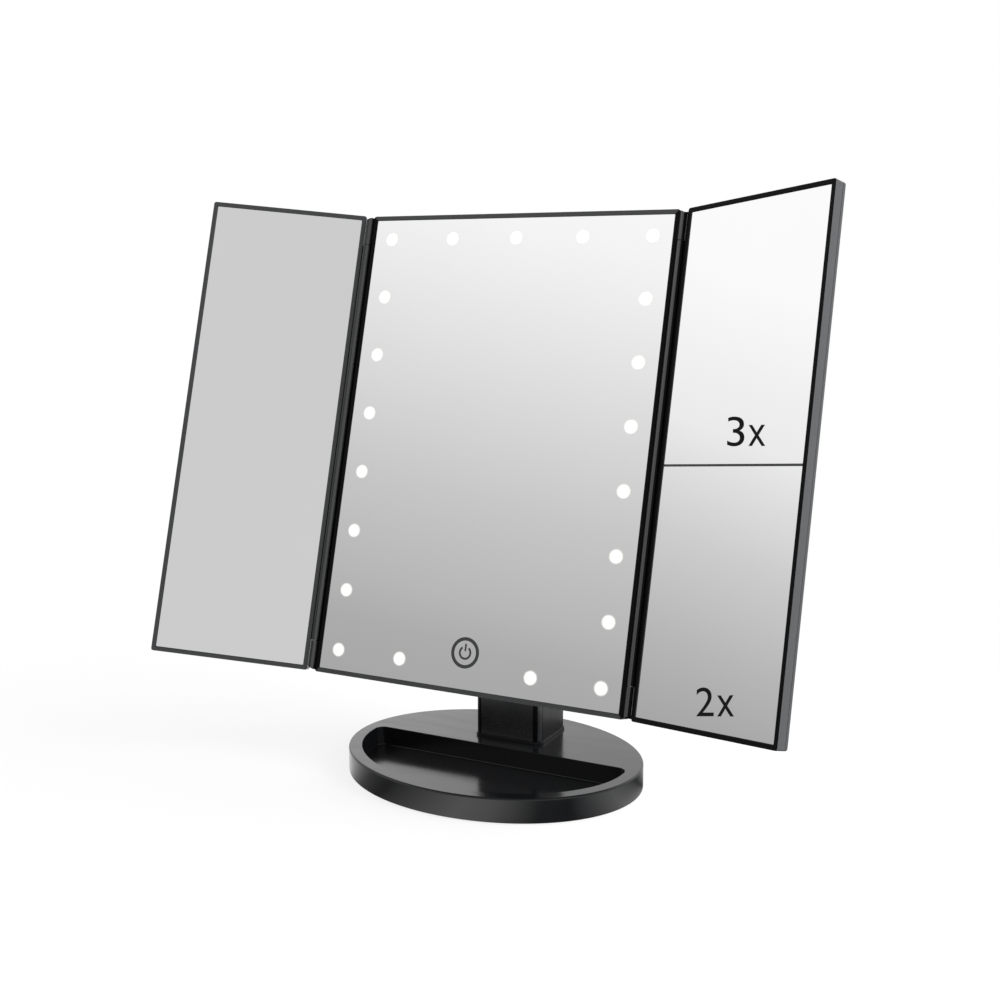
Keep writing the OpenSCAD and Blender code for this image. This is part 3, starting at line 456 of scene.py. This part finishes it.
def roundCorners(piece, left, right, radius):
    # The four corner edges of a panel, which run from front to back
    def isCorner(a, b):
        onSide = near(a.x, b.x) and (near(a.x, left) or near(a.x, right))
        return onSide and near(a.z, b.z) and (near(a.z, 0) or near(a.z, panels["height"]))
    pickEdges(piece, isCorner)
    bevelPicked(radius, 5)


def panelShell(name, left, right, front, back):
    # Rim and floor: both faces are inset by the rim and sunk to the floor between them
    shell = addBlock(name, (left, front, 0), (right, front + back, panels["height"]))
    pickFaces(shell, lambda middle, normal: normal.y < -facing)
    bpy.ops.mesh.inset(thickness=panels["rim"] * mm)
    extrudeBy((0, panels["floorFront"], 0))
    pickFaces(shell, lambda middle, normal: normal.y > facing and near(middle.y, front + back))
    bpy.ops.mesh.inset(thickness=panels["rim"] * mm)
    extrudeBy((0, panels["floorBack"] - back, 0))
    roundCorners(shell, left, right, panels["corner"])
    softenEdges(shell, panels["edge"], 3, panels["softFrom"])
    return shell


def coverSlab(name, left, right, front):
    back = front + panels["coverThick"]
    slab = addBlock(name, (left, front, 0), (right, back, panels["height"]))
    roundCorners(slab, left, right, panels["corner"])
    pickEdges(slab, lambda a, b: near(a.y, back) and near(b.y, back))
    bevelPicked(panels["coverEdge"], 4)
    softenEdges(slab, panels["coverSoft"], 2, panels["softFrom"])
    return slab


def glassPane(name, left, right, low, high, front):
    # Glass slab with rounded corners and a ground arris round its front
    glass = {"play": 0.1, "corner": 0.4, "arris": 0.12, "flat": 0.99}
    left, right = left + glass["play"], right - glass["play"]
    low, high = low + glass["play"], high - glass["play"]
    face = front + panels["glassFront"]
    pane = addBlock(name, (left, face, low), (right, front + panels["glassBack"], high))
    pickEdges(pane, lambda a, b: not near(a.y, b.y))
    bevelPicked(glass["corner"], 4)
    pickEdges(pane, lambda a, b: near(a.y, face) and near(b.y, face))
    bevelPicked(glass["arris"])
    pane.data.materials.append(mirrorSilver)
    pane.data.materials.append(arrisGlassAndHighlight)
    for side in pane.data.polygons:
        side.material_index = 0 if side.normal.y < -glass["flat"] else 1
    return pane


def hingeBarrel(name, side, low, high, finish, shine):
    # Rod on the hinge axis, with a painted highlight strip and the painted-shade web that joins it to
    # its panel
    def shines(middle, normal):
        return shine[0] < math.degrees(math.atan2(normal.y, normal.x)) < shine[1]
    rod = dress(addRod(name, (0, 0, (low + high) / 2), hinge["radius"], high - low), finish)
    dress(rod, paintedHighlightEnamel, shines)
    web = addBlock(name + "Web", (0, hinge["set"], low),
                   (side * (hinge["gap"] + hinge["overlap"]), hinge["set"] + hinge["web"], high))
    return joinPieces(name, [rod, dress(web, paintedShadeAbs)])


# Centre panel, lighter charcoal along its top and bottom as painted light, and black beside the
# hinges as painted shade
# Sides of the rods: plain gloss black on the left, painted-shade black on the right
rodFinish = {-1: frameAbs, 1: paintedShadeAbs}
halfWidth = panels["width"] / 2
shell = dress(panelShell("panelShell", -halfWidth, halfWidth, 0, panels["frameBack"]), paintedLightAbs)
dress(shell, paintedShadeAbs, lambda middle, normal: abs(middle.x) > halfWidth - panels["rim"])
knuckles = []
for side in (-1, 1):
    for end in (0, 1):
        low, high = hinge["knuckle"]
        knuckle = hingeBarrel("knuckle", -side, low, high, rodFinish[side],
                              hinge["knuckleShine"][side])
        # The outer end slopes from the panel down to the wing
        pickAll(knuckle)
        bpy.ops.mesh.bisect(plane_co=(-side * hinge["gap"] * mm, 0, low * mm),
                            plane_no=(-side * math.tan(math.radians(hinge["slope"])), 0, 1),
                            use_fill=True, clear_inner=True)
        setMode("OBJECT")
        softenEdges(knuckle, hinge["edge"], 2, panels["softFrom"])
        if end:
            knuckle.scale.z = -1
            knuckle.location.z = panels["height"] * mm
        knuckle.location.x = side * (halfWidth + hinge["gap"]) * mm
        knuckle.location.y = -hinge["set"] * mm
        selectOnly(knuckle)
        applyPlace()
        knuckles.append(knuckle)
# Strips behind the barrels, that close the gaps beside them to the eye: painted-shade black that
# stands for the shade in the gaps
guards = []
for side in (-1, 1):
    left, right = sorted((side * (halfWidth - hinge["overlap"]),
                          side * (halfWidth + hinge["gap"] + hinge["guardReach"])))
    guard = addBlock("hingeGuard", (left, hinge["guard"][0], hinge["knuckle"][0]),
                     (right, hinge["guard"][1], panels["height"] - hinge["knuckle"][0]))
    softenEdges(guard, hinge["guardEdge"], 2)
    guards.append(dress(guard, paintedShadeAbs))
panelFrame = joinPieces("panelFrame", [shell] + knuckles + guards)
finishPiece(panelFrame, "panel", None, ["panel_frame"], panelPlace)

panelBackCover = copyOfNode("panelBackCover", "panel_cover")
softenEdges(panelBackCover, panels["edge"], 3)
finishPiece(panelBackCover, "panel", frameAbs, ["panel_cover"])

panelPane = glassPane("panelPane", panels["rim"] - halfWidth, halfWidth - panels["rim"],
                      panels["rim"], panels["height"] - panels["rim"], 0)
finishPiece(panelPane, "panel", None, ["panel_mirror"], panelPlace)
print("centre panel made")

# Lit windows: two upright rows, one along the top and one along the bottom, broken by the touch sign
lights = {"diameter": 7.7, "fromSide": 12.4, "fromEnd": 12.7, "tall": 8, "wide": 5,
          "proud": 0.03, "behind": 1.2, "fade": 1.5, "sink": 0.01}
lightX = halfWidth - lights["fromSide"]
lightTop = panels["height"] - lights["fromEnd"]
upStep = (lightTop - lights["fromEnd"]) / (lights["tall"] - 1)
acrossStep = 2 * lightX / (lights["wide"] - 1)
lightPlaces = [(side * lightX, lights["fromEnd"] + i * upStep)
               for side in (-1, 1) for i in range(lights["tall"])]
lightPlaces += [(i * acrossStep - lightX, lightTop) for i in range(1, lights["wide"] - 1)]
lightPlaces += [(i * acrossStep - lightX, lights["fromEnd"]) for i in (1, lights["wide"] - 2)]
spot = addRod("lightSpot", (0, panels["glassFront"] + (lights["behind"] - lights["proud"]) / 2, 0),
              lights["diameter"] / 2, lights["behind"] + lights["proud"], (math.pi / 2, 0, 0))
pickFaces(spot, lambda middle, normal: normal.y < -facing)
bpy.ops.mesh.inset(thickness=lights["fade"] * mm, depth=lights["sink"] * mm)
setMode("OBJECT")
etching = spot.data.attributes.new("etched", "FLOAT", "POINT")
for vertex in spot.data.vertices:
    fromMiddle = math.hypot(vertex.co.x, vertex.co.z) / mm
    inside = fromMiddle < (lights["diameter"] - lights["fade"]) / 2
    etching.data[vertex.index].value = 1 if inside else 0
spots = [copyBy(spot, (x, 0, z)) for x, z in lightPlaces]
bpy.data.objects.remove(spot)
lightSpots = joinPieces("lightSpots", spots)
finishPiece(lightSpots, "panel", litWindow, ["light_windows"], panelPlace)

# Touch ring with the power sign
sign = {"diameter": 15.3, "line": 1.7, "height": 20.2, "arcRadius": 2.9, "arcLine": 1.05,
        "bar": 3.8, "barFrom": 0.725, "barEdge": 0.12, "open": 70, "proud": 0.03, "behind": 0.5,
        "ringSides": 96, "arcSteps": 48}
signFront = panels["glassFront"] - sign["proud"]
signDepth = sign["proud"] + sign["behind"]
signBack = signFront + signDepth
ring = addRod("touchRing", (0, signFront + signDepth / 2, sign["height"]), sign["diameter"] / 2,
              signDepth, (math.pi / 2, 0, 0), sign["ringSides"])
pickFaces(ring, lambda middle, normal: abs(normal.y) > facing)
bpy.ops.mesh.inset(thickness=sign["line"] * mm)
bpy.ops.mesh.bridge_edge_loops()
setMode("OBJECT")
# The open circle is a short length of line spun round the middle of the ring
halfLine = sign["arcLine"] / 2
arcTop = sign["height"] + sign["arcRadius"]
arc = addBlock("powerArc", (-halfLine, signFront, arcTop - halfLine),
               (halfLine, signBack, arcTop + halfLine))
pickFaces(arc, lambda middle, normal: normal.x < facing)
bpy.ops.mesh.delete(type="FACE")
bpy.ops.mesh.select_all(action="SELECT")
bpy.ops.transform.translate(value=(-halfLine * mm, 0, 0))
signMiddle = (0, 0, sign["height"] * mm)
bpy.ops.transform.rotate(value=math.radians(sign["open"] / 2), orient_axis="Y",
                         center_override=signMiddle)
bpy.ops.mesh.spin(steps=sign["arcSteps"], angle=math.radians(360 - sign["open"]),
                  center=signMiddle, axis=(0, 1, 0))
setMode("OBJECT")
barLow = sign["height"] + sign["barFrom"]
bar = addBlock("powerBar", (-halfLine, signFront, barLow), (halfLine, signBack, barLow + sign["bar"]))
softenEdges(bar, sign["barEdge"], 2)
touchSign = joinPieces("touchSign", [ring, arc, bar])
finishPiece(touchSign, "panel", etchedSign, ["touch_sign"], panelPlace)
print("lights and touch sign made")

# Wings
# The left wing's frame is the lighter copy as painted light, the right wing's the black copy as
# painted shade
wings = {"left": (-1, paintedLightAbs), "right": (1, paintedShadeAbs)}
# Rib between the two magnifying panes
divider = {"middle": 118.6, "width": 0.7, "overlap": 0.1, "sunk": 0.2, "edge": 0.15}
ribLow = divider["middle"] - divider["width"] / 2
ribHigh = divider["middle"] + divider["width"] / 2
paneLow, paneHigh = panels["rim"], panels["height"] - panels["rim"]
panes = {"left": [("leftPane", "left_mirror", paneLow, paneHigh)],
         "right": [("upperPane", "right_mirror_3x", ribHigh, paneHigh),
                   ("lowerPane", "right_mirror_2x", paneLow, ribLow)]}
for name, (side, finish) in wings.items():
    left, right = sorted((side * hinge["gap"], side * (hinge["gap"] + panels["wingWidth"])))
    paneLeft, paneRight = left + panels["rim"], right - panels["rim"]
    place, body = wingPlaces[name], name + "_wing"

    def isOuterSide(middle, normal):
        return normal.x * side > panels["sideFrom"]

    shell = panelShell(name + "Shell", left, right, hinge["set"], panels["wingFrameBack"])
    # The frame's outer side in the slate grey of painted light
    dress(dress(shell, finish), paintedLightSideAbs, isOuterSide)
    barrel = hingeBarrel(name + "Barrel", side, *hinge["barrel"], rodFinish[side],
                         hinge["shine"][name])
    softenEdges(barrel, hinge["edge"], 2, panels["softFrom"])
    parts = [shell, barrel]
    if name == "right":
        ribFront = hinge["set"] + panels["glassFront"]
        rib = addBlock("rib", (paneLeft - divider["overlap"], ribFront, ribLow),
                       (paneRight + divider["overlap"],
                        hinge["set"] + panels["floorFront"] + divider["sunk"], ribHigh))
        pickEdges(rib, lambda a, b: near(a.y, ribFront) and near(b.y, ribFront) and near(a.z, b.z))
        bevelPicked(divider["edge"], 2)
        # The rib in the lighter charcoal copy, painted light
        parts.append(dress(rib, paintedLightAbs))
    wingFrame = joinPieces(name + "WingFrame", parts)
    finishPiece(wingFrame, body, None, [name + "_frame"], place)
    coverFront = hinge["set"] + panels["wingFrameBack"]
    wingCover = dress(coverSlab(name + "WingCover", left, right, coverFront), frameAbs)
    # The cover's outer side in the slate grey of painted light
    dress(wingCover, paintedLightSideAbs, isOuterSide)
    finishPiece(wingCover, body, None, [name + "_cover"], place)
    for paneName, node, low, high in panes[name]:
        pane = glassPane(paneName, paneLeft, paneRight, low, high, hinge["set"])
        finishPiece(pane, body, None, [node], place)

# Figures printed on the magnifying panes
# The photograph shows them upright to its own frame, so they stand a little turned and leaning on
# the panes. Each sign has the place of its lower left corner and its size
printing = {"typeSize": 20, "thick": 0.02, "curveSteps": 6}
figures = {"upperFigure": {"turn": -0.9, "lean": 0.137, "offset": -0.06,
                           "signs": {"3": ((41.3, 127), (9.8, 13.35)),
                                     "x": ((53.4, 127), (9.25, 9.3))}},
           "lowerFigure": {"turn": 8.2, "lean": 0, "offset": -0.04,
                           "signs": {"2": ((40.45, 7.85), (9.95, 12.4)),
                                     "x": ((52.25, 9.45), (9.2, 8.95))}}}


def printedSign(name, words, start, size, figure):
    deselectAll()
    bpy.ops.object.text_add(rotation=(math.pi / 2, 0, 0))
    letter = bpy.context.object
    letter.data.body = words
    letter.data.size, letter.data.extrude = printing["typeSize"] * mm, printing["thick"] * mm
    letter.data.offset = figure["offset"] * mm
    letter.data.resolution_u = printing["curveSteps"]
    bpy.context.view_layer.update()
    corner = Vector(letter.bound_box[0])
    wide, tall = size[0] * mm / letter.dimensions.x, size[1] * mm / letter.dimensions.y
    letter.scale = (wide, tall, 1)
    letter.data.shear = -figure["lean"] * tall / wide
    bpy.ops.object.convert(target="MESH")
    bpy.ops.transform.translate(value=(-corner.x * wide, 0, -corner.y * tall))
    applyPlace()
    letter.rotation_euler.y = math.radians(-figure["turn"])
    letter.location = (start[0] * mm, (hinge["set"] + panels["glassFront"]) * mm, start[1] * mm)
    return keepPlace(name)


for name, figure in figures.items():
    signs = [printedSign(name, words, start, size, figure)
             for words, (start, size) in figure["signs"].items()]
    finishPiece(joinPieces(name, signs), "right_wing", printedInk, (),
                wingPlaces["right"])
print("wings made")

# Base: an oval disc with a round edge, its tray, the socket of the plug and the seat of the
# bottom plate
base = {"halfWidth": 79.1, "halfDepth": 62, "bottom": 0.5, "top": 12.8, "edge": 1, "wall": 2,
        "plateTop": 1.6, "trayFloor": 2.6, "trayRim": 7, "trayBack": 5.3, "trayCorner": 5,
        "trayFillet": 0.7, "lip": 0.3, "lipFrom": 55, "neckY": 32.4, "plug": (29.5, 26.5),
        "plugCorner": 1.75, "sides": 144, "toolAbove": 5, "cutStep": 10}


def ovalDisc(name, halfWidth, halfDepth, low, high):
    disc = addRod(name, (0, 0, (low + high) / 2), 1, high - low, sides=base["sides"])
    disc.scale = (halfWidth, halfDepth, 1)
    return keepPlace(name)


trayBase = ovalDisc("trayBase", base["halfWidth"], base["halfDepth"], base["bottom"], base["top"])
pickEdges(trayBase, lambda a, b: near(a.z, base["top"]) and near(b.z, base["top"]))
bevelPicked(base["edge"], 6)
pickFaces(trayBase, lambda middle, normal: normal.z < -facing)
bpy.ops.mesh.inset(thickness=base["wall"] * mm)
extrudeBy((0, 0, base["plateTop"] - base["bottom"]))
setMode("OBJECT")
toolTop = base["top"] + base["toolAbove"]
trayTool = ovalDisc("trayTool", base["halfWidth"] - base["trayRim"],
                    base["halfDepth"] - base["trayRim"], base["trayFloor"], toolTop)
pickAll(trayTool)
bpy.ops.mesh.bisect(plane_co=(0, base["trayBack"] * mm, 0), plane_no=(0, 1, 0), use_fill=True,
                    clear_outer=True)
# Its two back corners are rounded by a fan of cuts that touch the corner's circle
cornerX = base["halfWidth"] - base["trayRim"] - base["trayCorner"]
cornerY = base["trayBack"] - base["trayCorner"]
for side in (-1, 1):
    for degrees in range(base["cutStep"], 90, base["cutStep"]):
        angle = math.radians(degrees)
        outward = Vector((side * math.cos(angle), math.sin(angle), 0))
        touch = Vector((side * cornerX, cornerY, 0)) + outward * base["trayCorner"]
        bpy.ops.mesh.select_all(action="SELECT")
        bpy.ops.mesh.bisect(plane_co=touch * mm, plane_no=outward, use_fill=True, clear_outer=True)
setMode("OBJECT")
pickEdges(trayTool, lambda a, b: near(a.z, base["trayFloor"]) and near(b.z, base["trayFloor"]))
bevelPicked(base["trayFillet"], 4)
cutAway(trayBase, trayTool)
plugWide, plugDeep = base["plug"]
plugTool = addBlock("plugTool", (-plugWide / 2, base["neckY"] - plugDeep / 2, 0),
                    (plugWide / 2, base["neckY"] + plugDeep / 2, toolTop))
pickEdges(plugTool, lambda a, b: not near(a.z, b.z))
bevelPicked(base["plugCorner"], 6)
cutAway(trayBase, plugTool)
# Soft lip round the tray and the socket
softenEdges(trayBase, base["lip"], 3, base["lipFrom"])
finishPiece(trayBase, "base", baseAbs, ["base_shell"])
print("base made")

# Moulded parts whose CAD shape is right get their edges softened, the wider ones in three steps
threeStepsFrom = 0.3
mouldings = [("neckFoot", "neck_foot", "neck", baseAbs, "base_gloss", 0.35),
             ("neckFrontShell", "neck_front", "neck", neckFrontPaintedLightAbs, "neck_black", 0.12),
             ("neckRearShell", "neck_rear", "neck", neckAbs, "neck_black", 0.12),
             ("batteryDoor", "battery_door", "battery_door", neckAbs, "neck_black", 0.15),
             ("tiltBracket", "tilt_bracket", "panel", neckAbs, "neck_black", 0.4),
             ("tiltCaps", "tilt_caps", "panel", plainPp, "plain_black", 0.4),
             ("bottomPlate", "base_plate", "base", plainPp, "plain_black", 0.15),
             ("rubberFeet", "base_feet", "base", footRubber, "foot_rubber", 0.3)]
# Painted shade: dark upright strips on the neck's front corners, by direction in degrees as seen
# from above
neckLook = {"strips": ((-83, -50), (-175, -97)), "sideFrom": 0.97}


def isNeckShadeStrip(middle, normal):
    direction = math.degrees(math.atan2(normal.y, normal.x))
    return any(low < direction < high for low, high in neckLook["strips"])


for name, node, body, finish, slotName, edge in mouldings:
    moulding = dress(copyOfNode(name, node), finish)
    softenEdges(moulding, edge, 3 if edge >= threeStepsFrom else 2)
    if node in ("neck_front", "neck_rear"):
        # Painted shade on the neck's sides, and along its front corners
        dress(moulding, neckSidePaintedShadeAbs, lambda middle, normal: abs(normal.x) > neckLook["sideFrom"])
        dress(moulding, paintedShadeAbs, isNeckShadeStrip)
    finishPiece(moulding, body, None, [node])

# Knob of the slide switch, with grip grooves across its face
grip = {"grooves": 3, "from": 0.45, "to": 0.95, "step": 0.8, "deep": 0.3, "past": 1,
        "corner": 0.15, "edge": 0.1}
lowKnob, highKnob = [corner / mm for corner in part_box("switch_knob")]
knob = addBlock("switchKnob", lowKnob, highKnob)
for i in range(grip["grooves"]):
    groove = addBlock("groove",
                      (lowKnob.x + grip["from"] + grip["step"] * i, highKnob.y - grip["deep"],
                       lowKnob.z - grip["past"]),
                      (lowKnob.x + grip["to"] + grip["step"] * i, highKnob.y + grip["past"],
                       highKnob.z + grip["past"]))
    pickEdges(groove, lambda a, b: near(a.x, b.x) and near(a.y, b.y) and a.y < highKnob.y)
    bevelPicked(grip["corner"])
    cutAway(knob, groove)
softenEdges(knob, grip["edge"], 2)
finishPiece(knob, "power_switch", plainPp, ["switch_knob"])

# The other CAD nodes stay as they are and get their finish
nodeFinishes = {"base_weight": weightSteel, "base_screws": pinSteel, "neck_screws": pinSteel,
                "battery_cells": cellFilm, "battery_contacts": contactNickel,
                "port_board": boardGreen, "power_socket": contactNickel,
                "switch_body": contactNickel, "panel_screws": pinSteel,
                "panel_tape": foamTape, "touch_pad": touchCopper, "touch_board": boardGreen,
                "light_board": boardWhite, "light_chips": chipPhosphor, "bracket_screws": pinSteel,
                "tilt_pin": pinSteel, "tilt_washers": washerNylon, "hinge_pins": pinSteel,
                "left_tape": foamTape, "right_tape": foamTape}
for node, finish in nodeFinishes.items():
    slots = frame["nodes"][node].material_slots
    for slot in slots:
        slot.material = finish
    if not slots:
        frame["nodes"][node].data.materials.append(finish)
print("neck, small parts and CAD nodes finished")

# Studio: pale floor, a soft box on the right and pale surroundings, greyer low in front
floorLook = {"size": 12, "colour": 0.8, "glow": 0.8, "shade": 0.35, "shadowFade": (0.2, 0.45)}
# White and black cards laid round the base: direction in degrees from the right, and strength
boards = {"edge": (0.105, 0.14), "power": 2,
          "cards": [(-180, 1.15), (-157, 1.1), (-141, 0.36), (-126, 0.16), (-110, 0.75), (-83, 2.0),
                    (-68, 1.65), (-46, 0.17), (-32, 0.06), (-14, 1.2), (-7, 1.42), (3, 0.78),
                    (14, 0.1), (30, 0.6), (60, 0.9), (180, 1.15)]}


def rampOf(tree, fac, stops):
    # Brightness by place along the stops
    ramp = addNode(tree, "ShaderNodeValToRGB", {}, {"Fac": fac})
    elements = ramp.color_ramp.elements
    elements[0].position, elements[1].position = stops[0][0], stops[-1][0]
    for position, _ in stops[1:-1]:
        elements.new(position)
    for element, (_, value) in zip(elements, stops):
        element.color = (value, value, value, 1)
    return ramp.outputs["Color"]


def smoothShare(tree, value, start, end):
    return addNode(tree, "ShaderNodeMapRange",
                   {"interpolation_type": "SMOOTHSTEP", "From Min": start, "From Max": end},
                   {"Value": value}).outputs["Result"]


def mirrorShare(tree, rays):
    # 1 for what is seen in a reflection or through glass
    return addNode(tree, "ShaderNodeMath", {"operation": "MAXIMUM"},
                   {0: rays.outputs["Is Glossy Ray"],
                    1: rays.outputs["Is Transmission Ray"]}).outputs[0]


def plainGrey(value):
    return [value] * 3 + [1]


deselectAll()
bpy.ops.mesh.primitive_plane_add(size=floorLook["size"], location=(0, 0, 0))
floor = bpy.context.object
floor.name = "studioFloor"
paper = bpy.data.materials.new("palePaperFloor")
paper.use_nodes = True
tree = paper.node_tree
tree.nodes.clear()
rays = addNode(tree, "ShaderNodeLightPath")
spotOn = addNode(tree, "ShaderNodeTexCoord").outputs["Object"]
fromMiddle = addNode(tree, "ShaderNodeVectorMath", {"operation": "LENGTH"},
                     {0: spotOn}).outputs["Value"]
mirrored = mirrorShare(tree, rays)
white = addNode(tree, "ShaderNodeEmission", {"Color": plainGrey(1), "Strength": 1.0}).outputs[0]
plainPaper = addNode(tree, "ShaderNodeBsdfDiffuse", {"Color": plainGrey(floorLook["colour"])})
# To the camera the floor is white, and keeps the shadow close to the object
shadePaper = addNode(tree, "ShaderNodeBsdfDiffuse", {"Color": plainGrey(floorLook["shade"])})
glow = addNode(tree, "ShaderNodeEmission", {"Color": plainGrey(1), "Strength": floorLook["glow"]})
shaded = addNode(tree, "ShaderNodeAddShader", {}, {0: shadePaper.outputs[0], 1: glow.outputs[0]})
shown = addNode(tree, "ShaderNodeMixShader", {},
                {0: smoothShare(tree, fromMiddle, *floorLook["shadowFade"]),
                 1: shaded.outputs[0], 2: white})
# In reflections it is white too, but for the boards close round the base
turn = addNode(tree, "ShaderNodeTexGradient", {"gradient_type": "RADIAL"},
               {"Vector": spotOn}).outputs["Fac"]
cards = rampOf(tree, turn, [((angle + 180) / 360, value / boards["power"])
                            for angle, value in boards["cards"]])
cards = addNode(tree, "ShaderNodeEmission", {"Strength": boards["power"]}, {"Color": cards})
reflected = addNode(tree, "ShaderNodeMixShader", {},
                    {0: smoothShare(tree, fromMiddle, *boards["edge"]),
                     1: cards.outputs[0], 2: white})
mixed = addNode(tree, "ShaderNodeMixShader", {},
                {0: rays.outputs["Is Camera Ray"], 1: plainPaper.outputs[0], 2: shown.outputs[0]})
mixed = addNode(tree, "ShaderNodeMixShader", {},
                {0: mirrored, 1: mixed.outputs[0], 2: reflected.outputs[0]})
addNode(tree, "ShaderNodeOutputMaterial", {}, {"Surface": mixed.outputs[0]})
floor.data.materials.append(paper)

# Soft box, by its direction from the front and upwards in degrees, and how far off it stands
boxLook = {"power": 16.0, "size": (0.9, 1.1), "from": (97, 24), "far": 1.35, "aim": (0, 0, 0.15)}
across, upward = [math.radians(a) for a in boxLook["from"]]
boxWay = Vector((math.sin(across) * math.cos(upward), -math.cos(across) * math.cos(upward),
                 math.sin(upward)))
bpy.ops.object.light_add(type="AREA", location=Vector(boxLook["aim"]) + boxWay * boxLook["far"])
softBox = bpy.context.object
softBox.name = "softBox"
softBox.data.shape, softBox.data.energy = "RECTANGLE", boxLook["power"]
softBox.data.size, softBox.data.size_y = boxLook["size"]
softBox.rotation_euler = boxWay.to_track_quat("Z", "Y").to_euler()
softBox.visible_glossy = False

# Surroundings: brightness against the height of the direction looked in, for each side, and where
# along X, Y or Z one side passes into the next
surroundings = {
    "ambient": 0.4,
    "frontLeft": [(0.0, 0.36), (0.051, 0.42), (0.096, 0.49), (0.134, 0.565), (0.17, 0.635),
                  (0.219, 0.765), (0.25, 0.86), (0.3, 0.92), (0.36, 1.0), (0.5, 1.02)],
    "frontMiddle": [(0.0, 0.3), (0.206, 0.43), (0.239, 0.49), (0.311, 0.59), (0.382, 0.72),
                    (0.452, 0.855), (0.504, 0.95), (0.6, 1.0)],
    "frontRight": [(0.0, 0.63), (0.6, 0.63), (1.0, 0.8)],
    "behindLeft": [(0.0, 1.0), (0.25, 1.15), (0.31, 1.95), (0.36, 1.62), (0.42, 1.4), (0.6, 1.0)],
    "behindRight": [(0.0, 0.85), (0.25, 0.95), (0.31, 1.5), (0.36, 1.26), (0.42, 1.2), (0.6, 1.0)],
    "overhead": [(0.0, 0.22), (1.0, 0.22)],
    "behindBlend": (-0.5, -0.36), "leftBlend": (-0.8, -0.58), "rightBlend": (-0.26, 0.02),
    "backBlend": (0.05, 0.4), "topBlend": (0.64, 0.82)}
world = bpy.data.worlds.new("paleStudio")
bpy.context.scene.world = world
world.use_nodes = True
tree = world.node_tree
tree.nodes.clear()
way = addNode(tree, "ShaderNodeTexCoord")
parts = addNode(tree, "ShaderNodeSeparateXYZ", {}, {0: way.outputs["Generated"]})


def heightRamp(part):
    return rampOf(tree, parts.outputs["Z"], surroundings[part])


def blendTo(first, second, along, blend):
    return addNode(tree, "ShaderNodeMix", {"data_type": "RGBA"},
                   {0: smoothShare(tree, parts.outputs[along], *surroundings[blend]),
                    6: first, 7: second}).outputs[2]


frontLeft, frontMiddle = heightRamp("frontLeft"), heightRamp("frontMiddle")
frontRight = heightRamp("frontRight")
behind = blendTo(heightRamp("behindLeft"), heightRamp("behindRight"), "X", "behindBlend")
front = blendTo(frontLeft, frontMiddle, "X", "leftBlend")
front = blendTo(front, frontRight, "X", "rightBlend")
around = blendTo(front, behind, "Y", "backBlend")
# The ceiling is dark, which draws a dark line along the round edges
around = blendTo(around, heightRamp("overhead"), "Z", "topBlend")
rays = addNode(tree, "ShaderNodeLightPath")
lighting = addNode(tree, "ShaderNodeMix",
                   {"data_type": "RGBA", 6: plainGrey(surroundings["ambient"])},
                   {0: mirrorShare(tree, rays), 7: around})
final = addNode(tree, "ShaderNodeMix", {"data_type": "RGBA", 7: plainGrey(1)},
                {0: rays.outputs["Is Camera Ray"], 6: lighting.outputs[2]})
background = addNode(tree, "ShaderNodeBackground", {"Strength": 1.0}, {"Color": final.outputs[2]})
addNode(tree, "ShaderNodeOutputWorld", {}, {"Surface": background.outputs[0]})

# Camera of the photograph
view = {"place": (0.29383, -0.57799, 0.25253), "across": 26.65, "down": 9.52, "lens": 47.23,
        "sensor": 36}
bpy.ops.object.camera_add(location=view["place"], rotation=(math.radians(90 - view["down"]), 0,
                                                            math.radians(view["across"])))
camera = bpy.context.object
camera.data.sensor_width, camera.data.lens = view["sensor"], view["lens"]
bpy.context.scene.camera = camera
bpy.context.scene.view_settings.view_transform = "Standard"
print("studio and camera set")
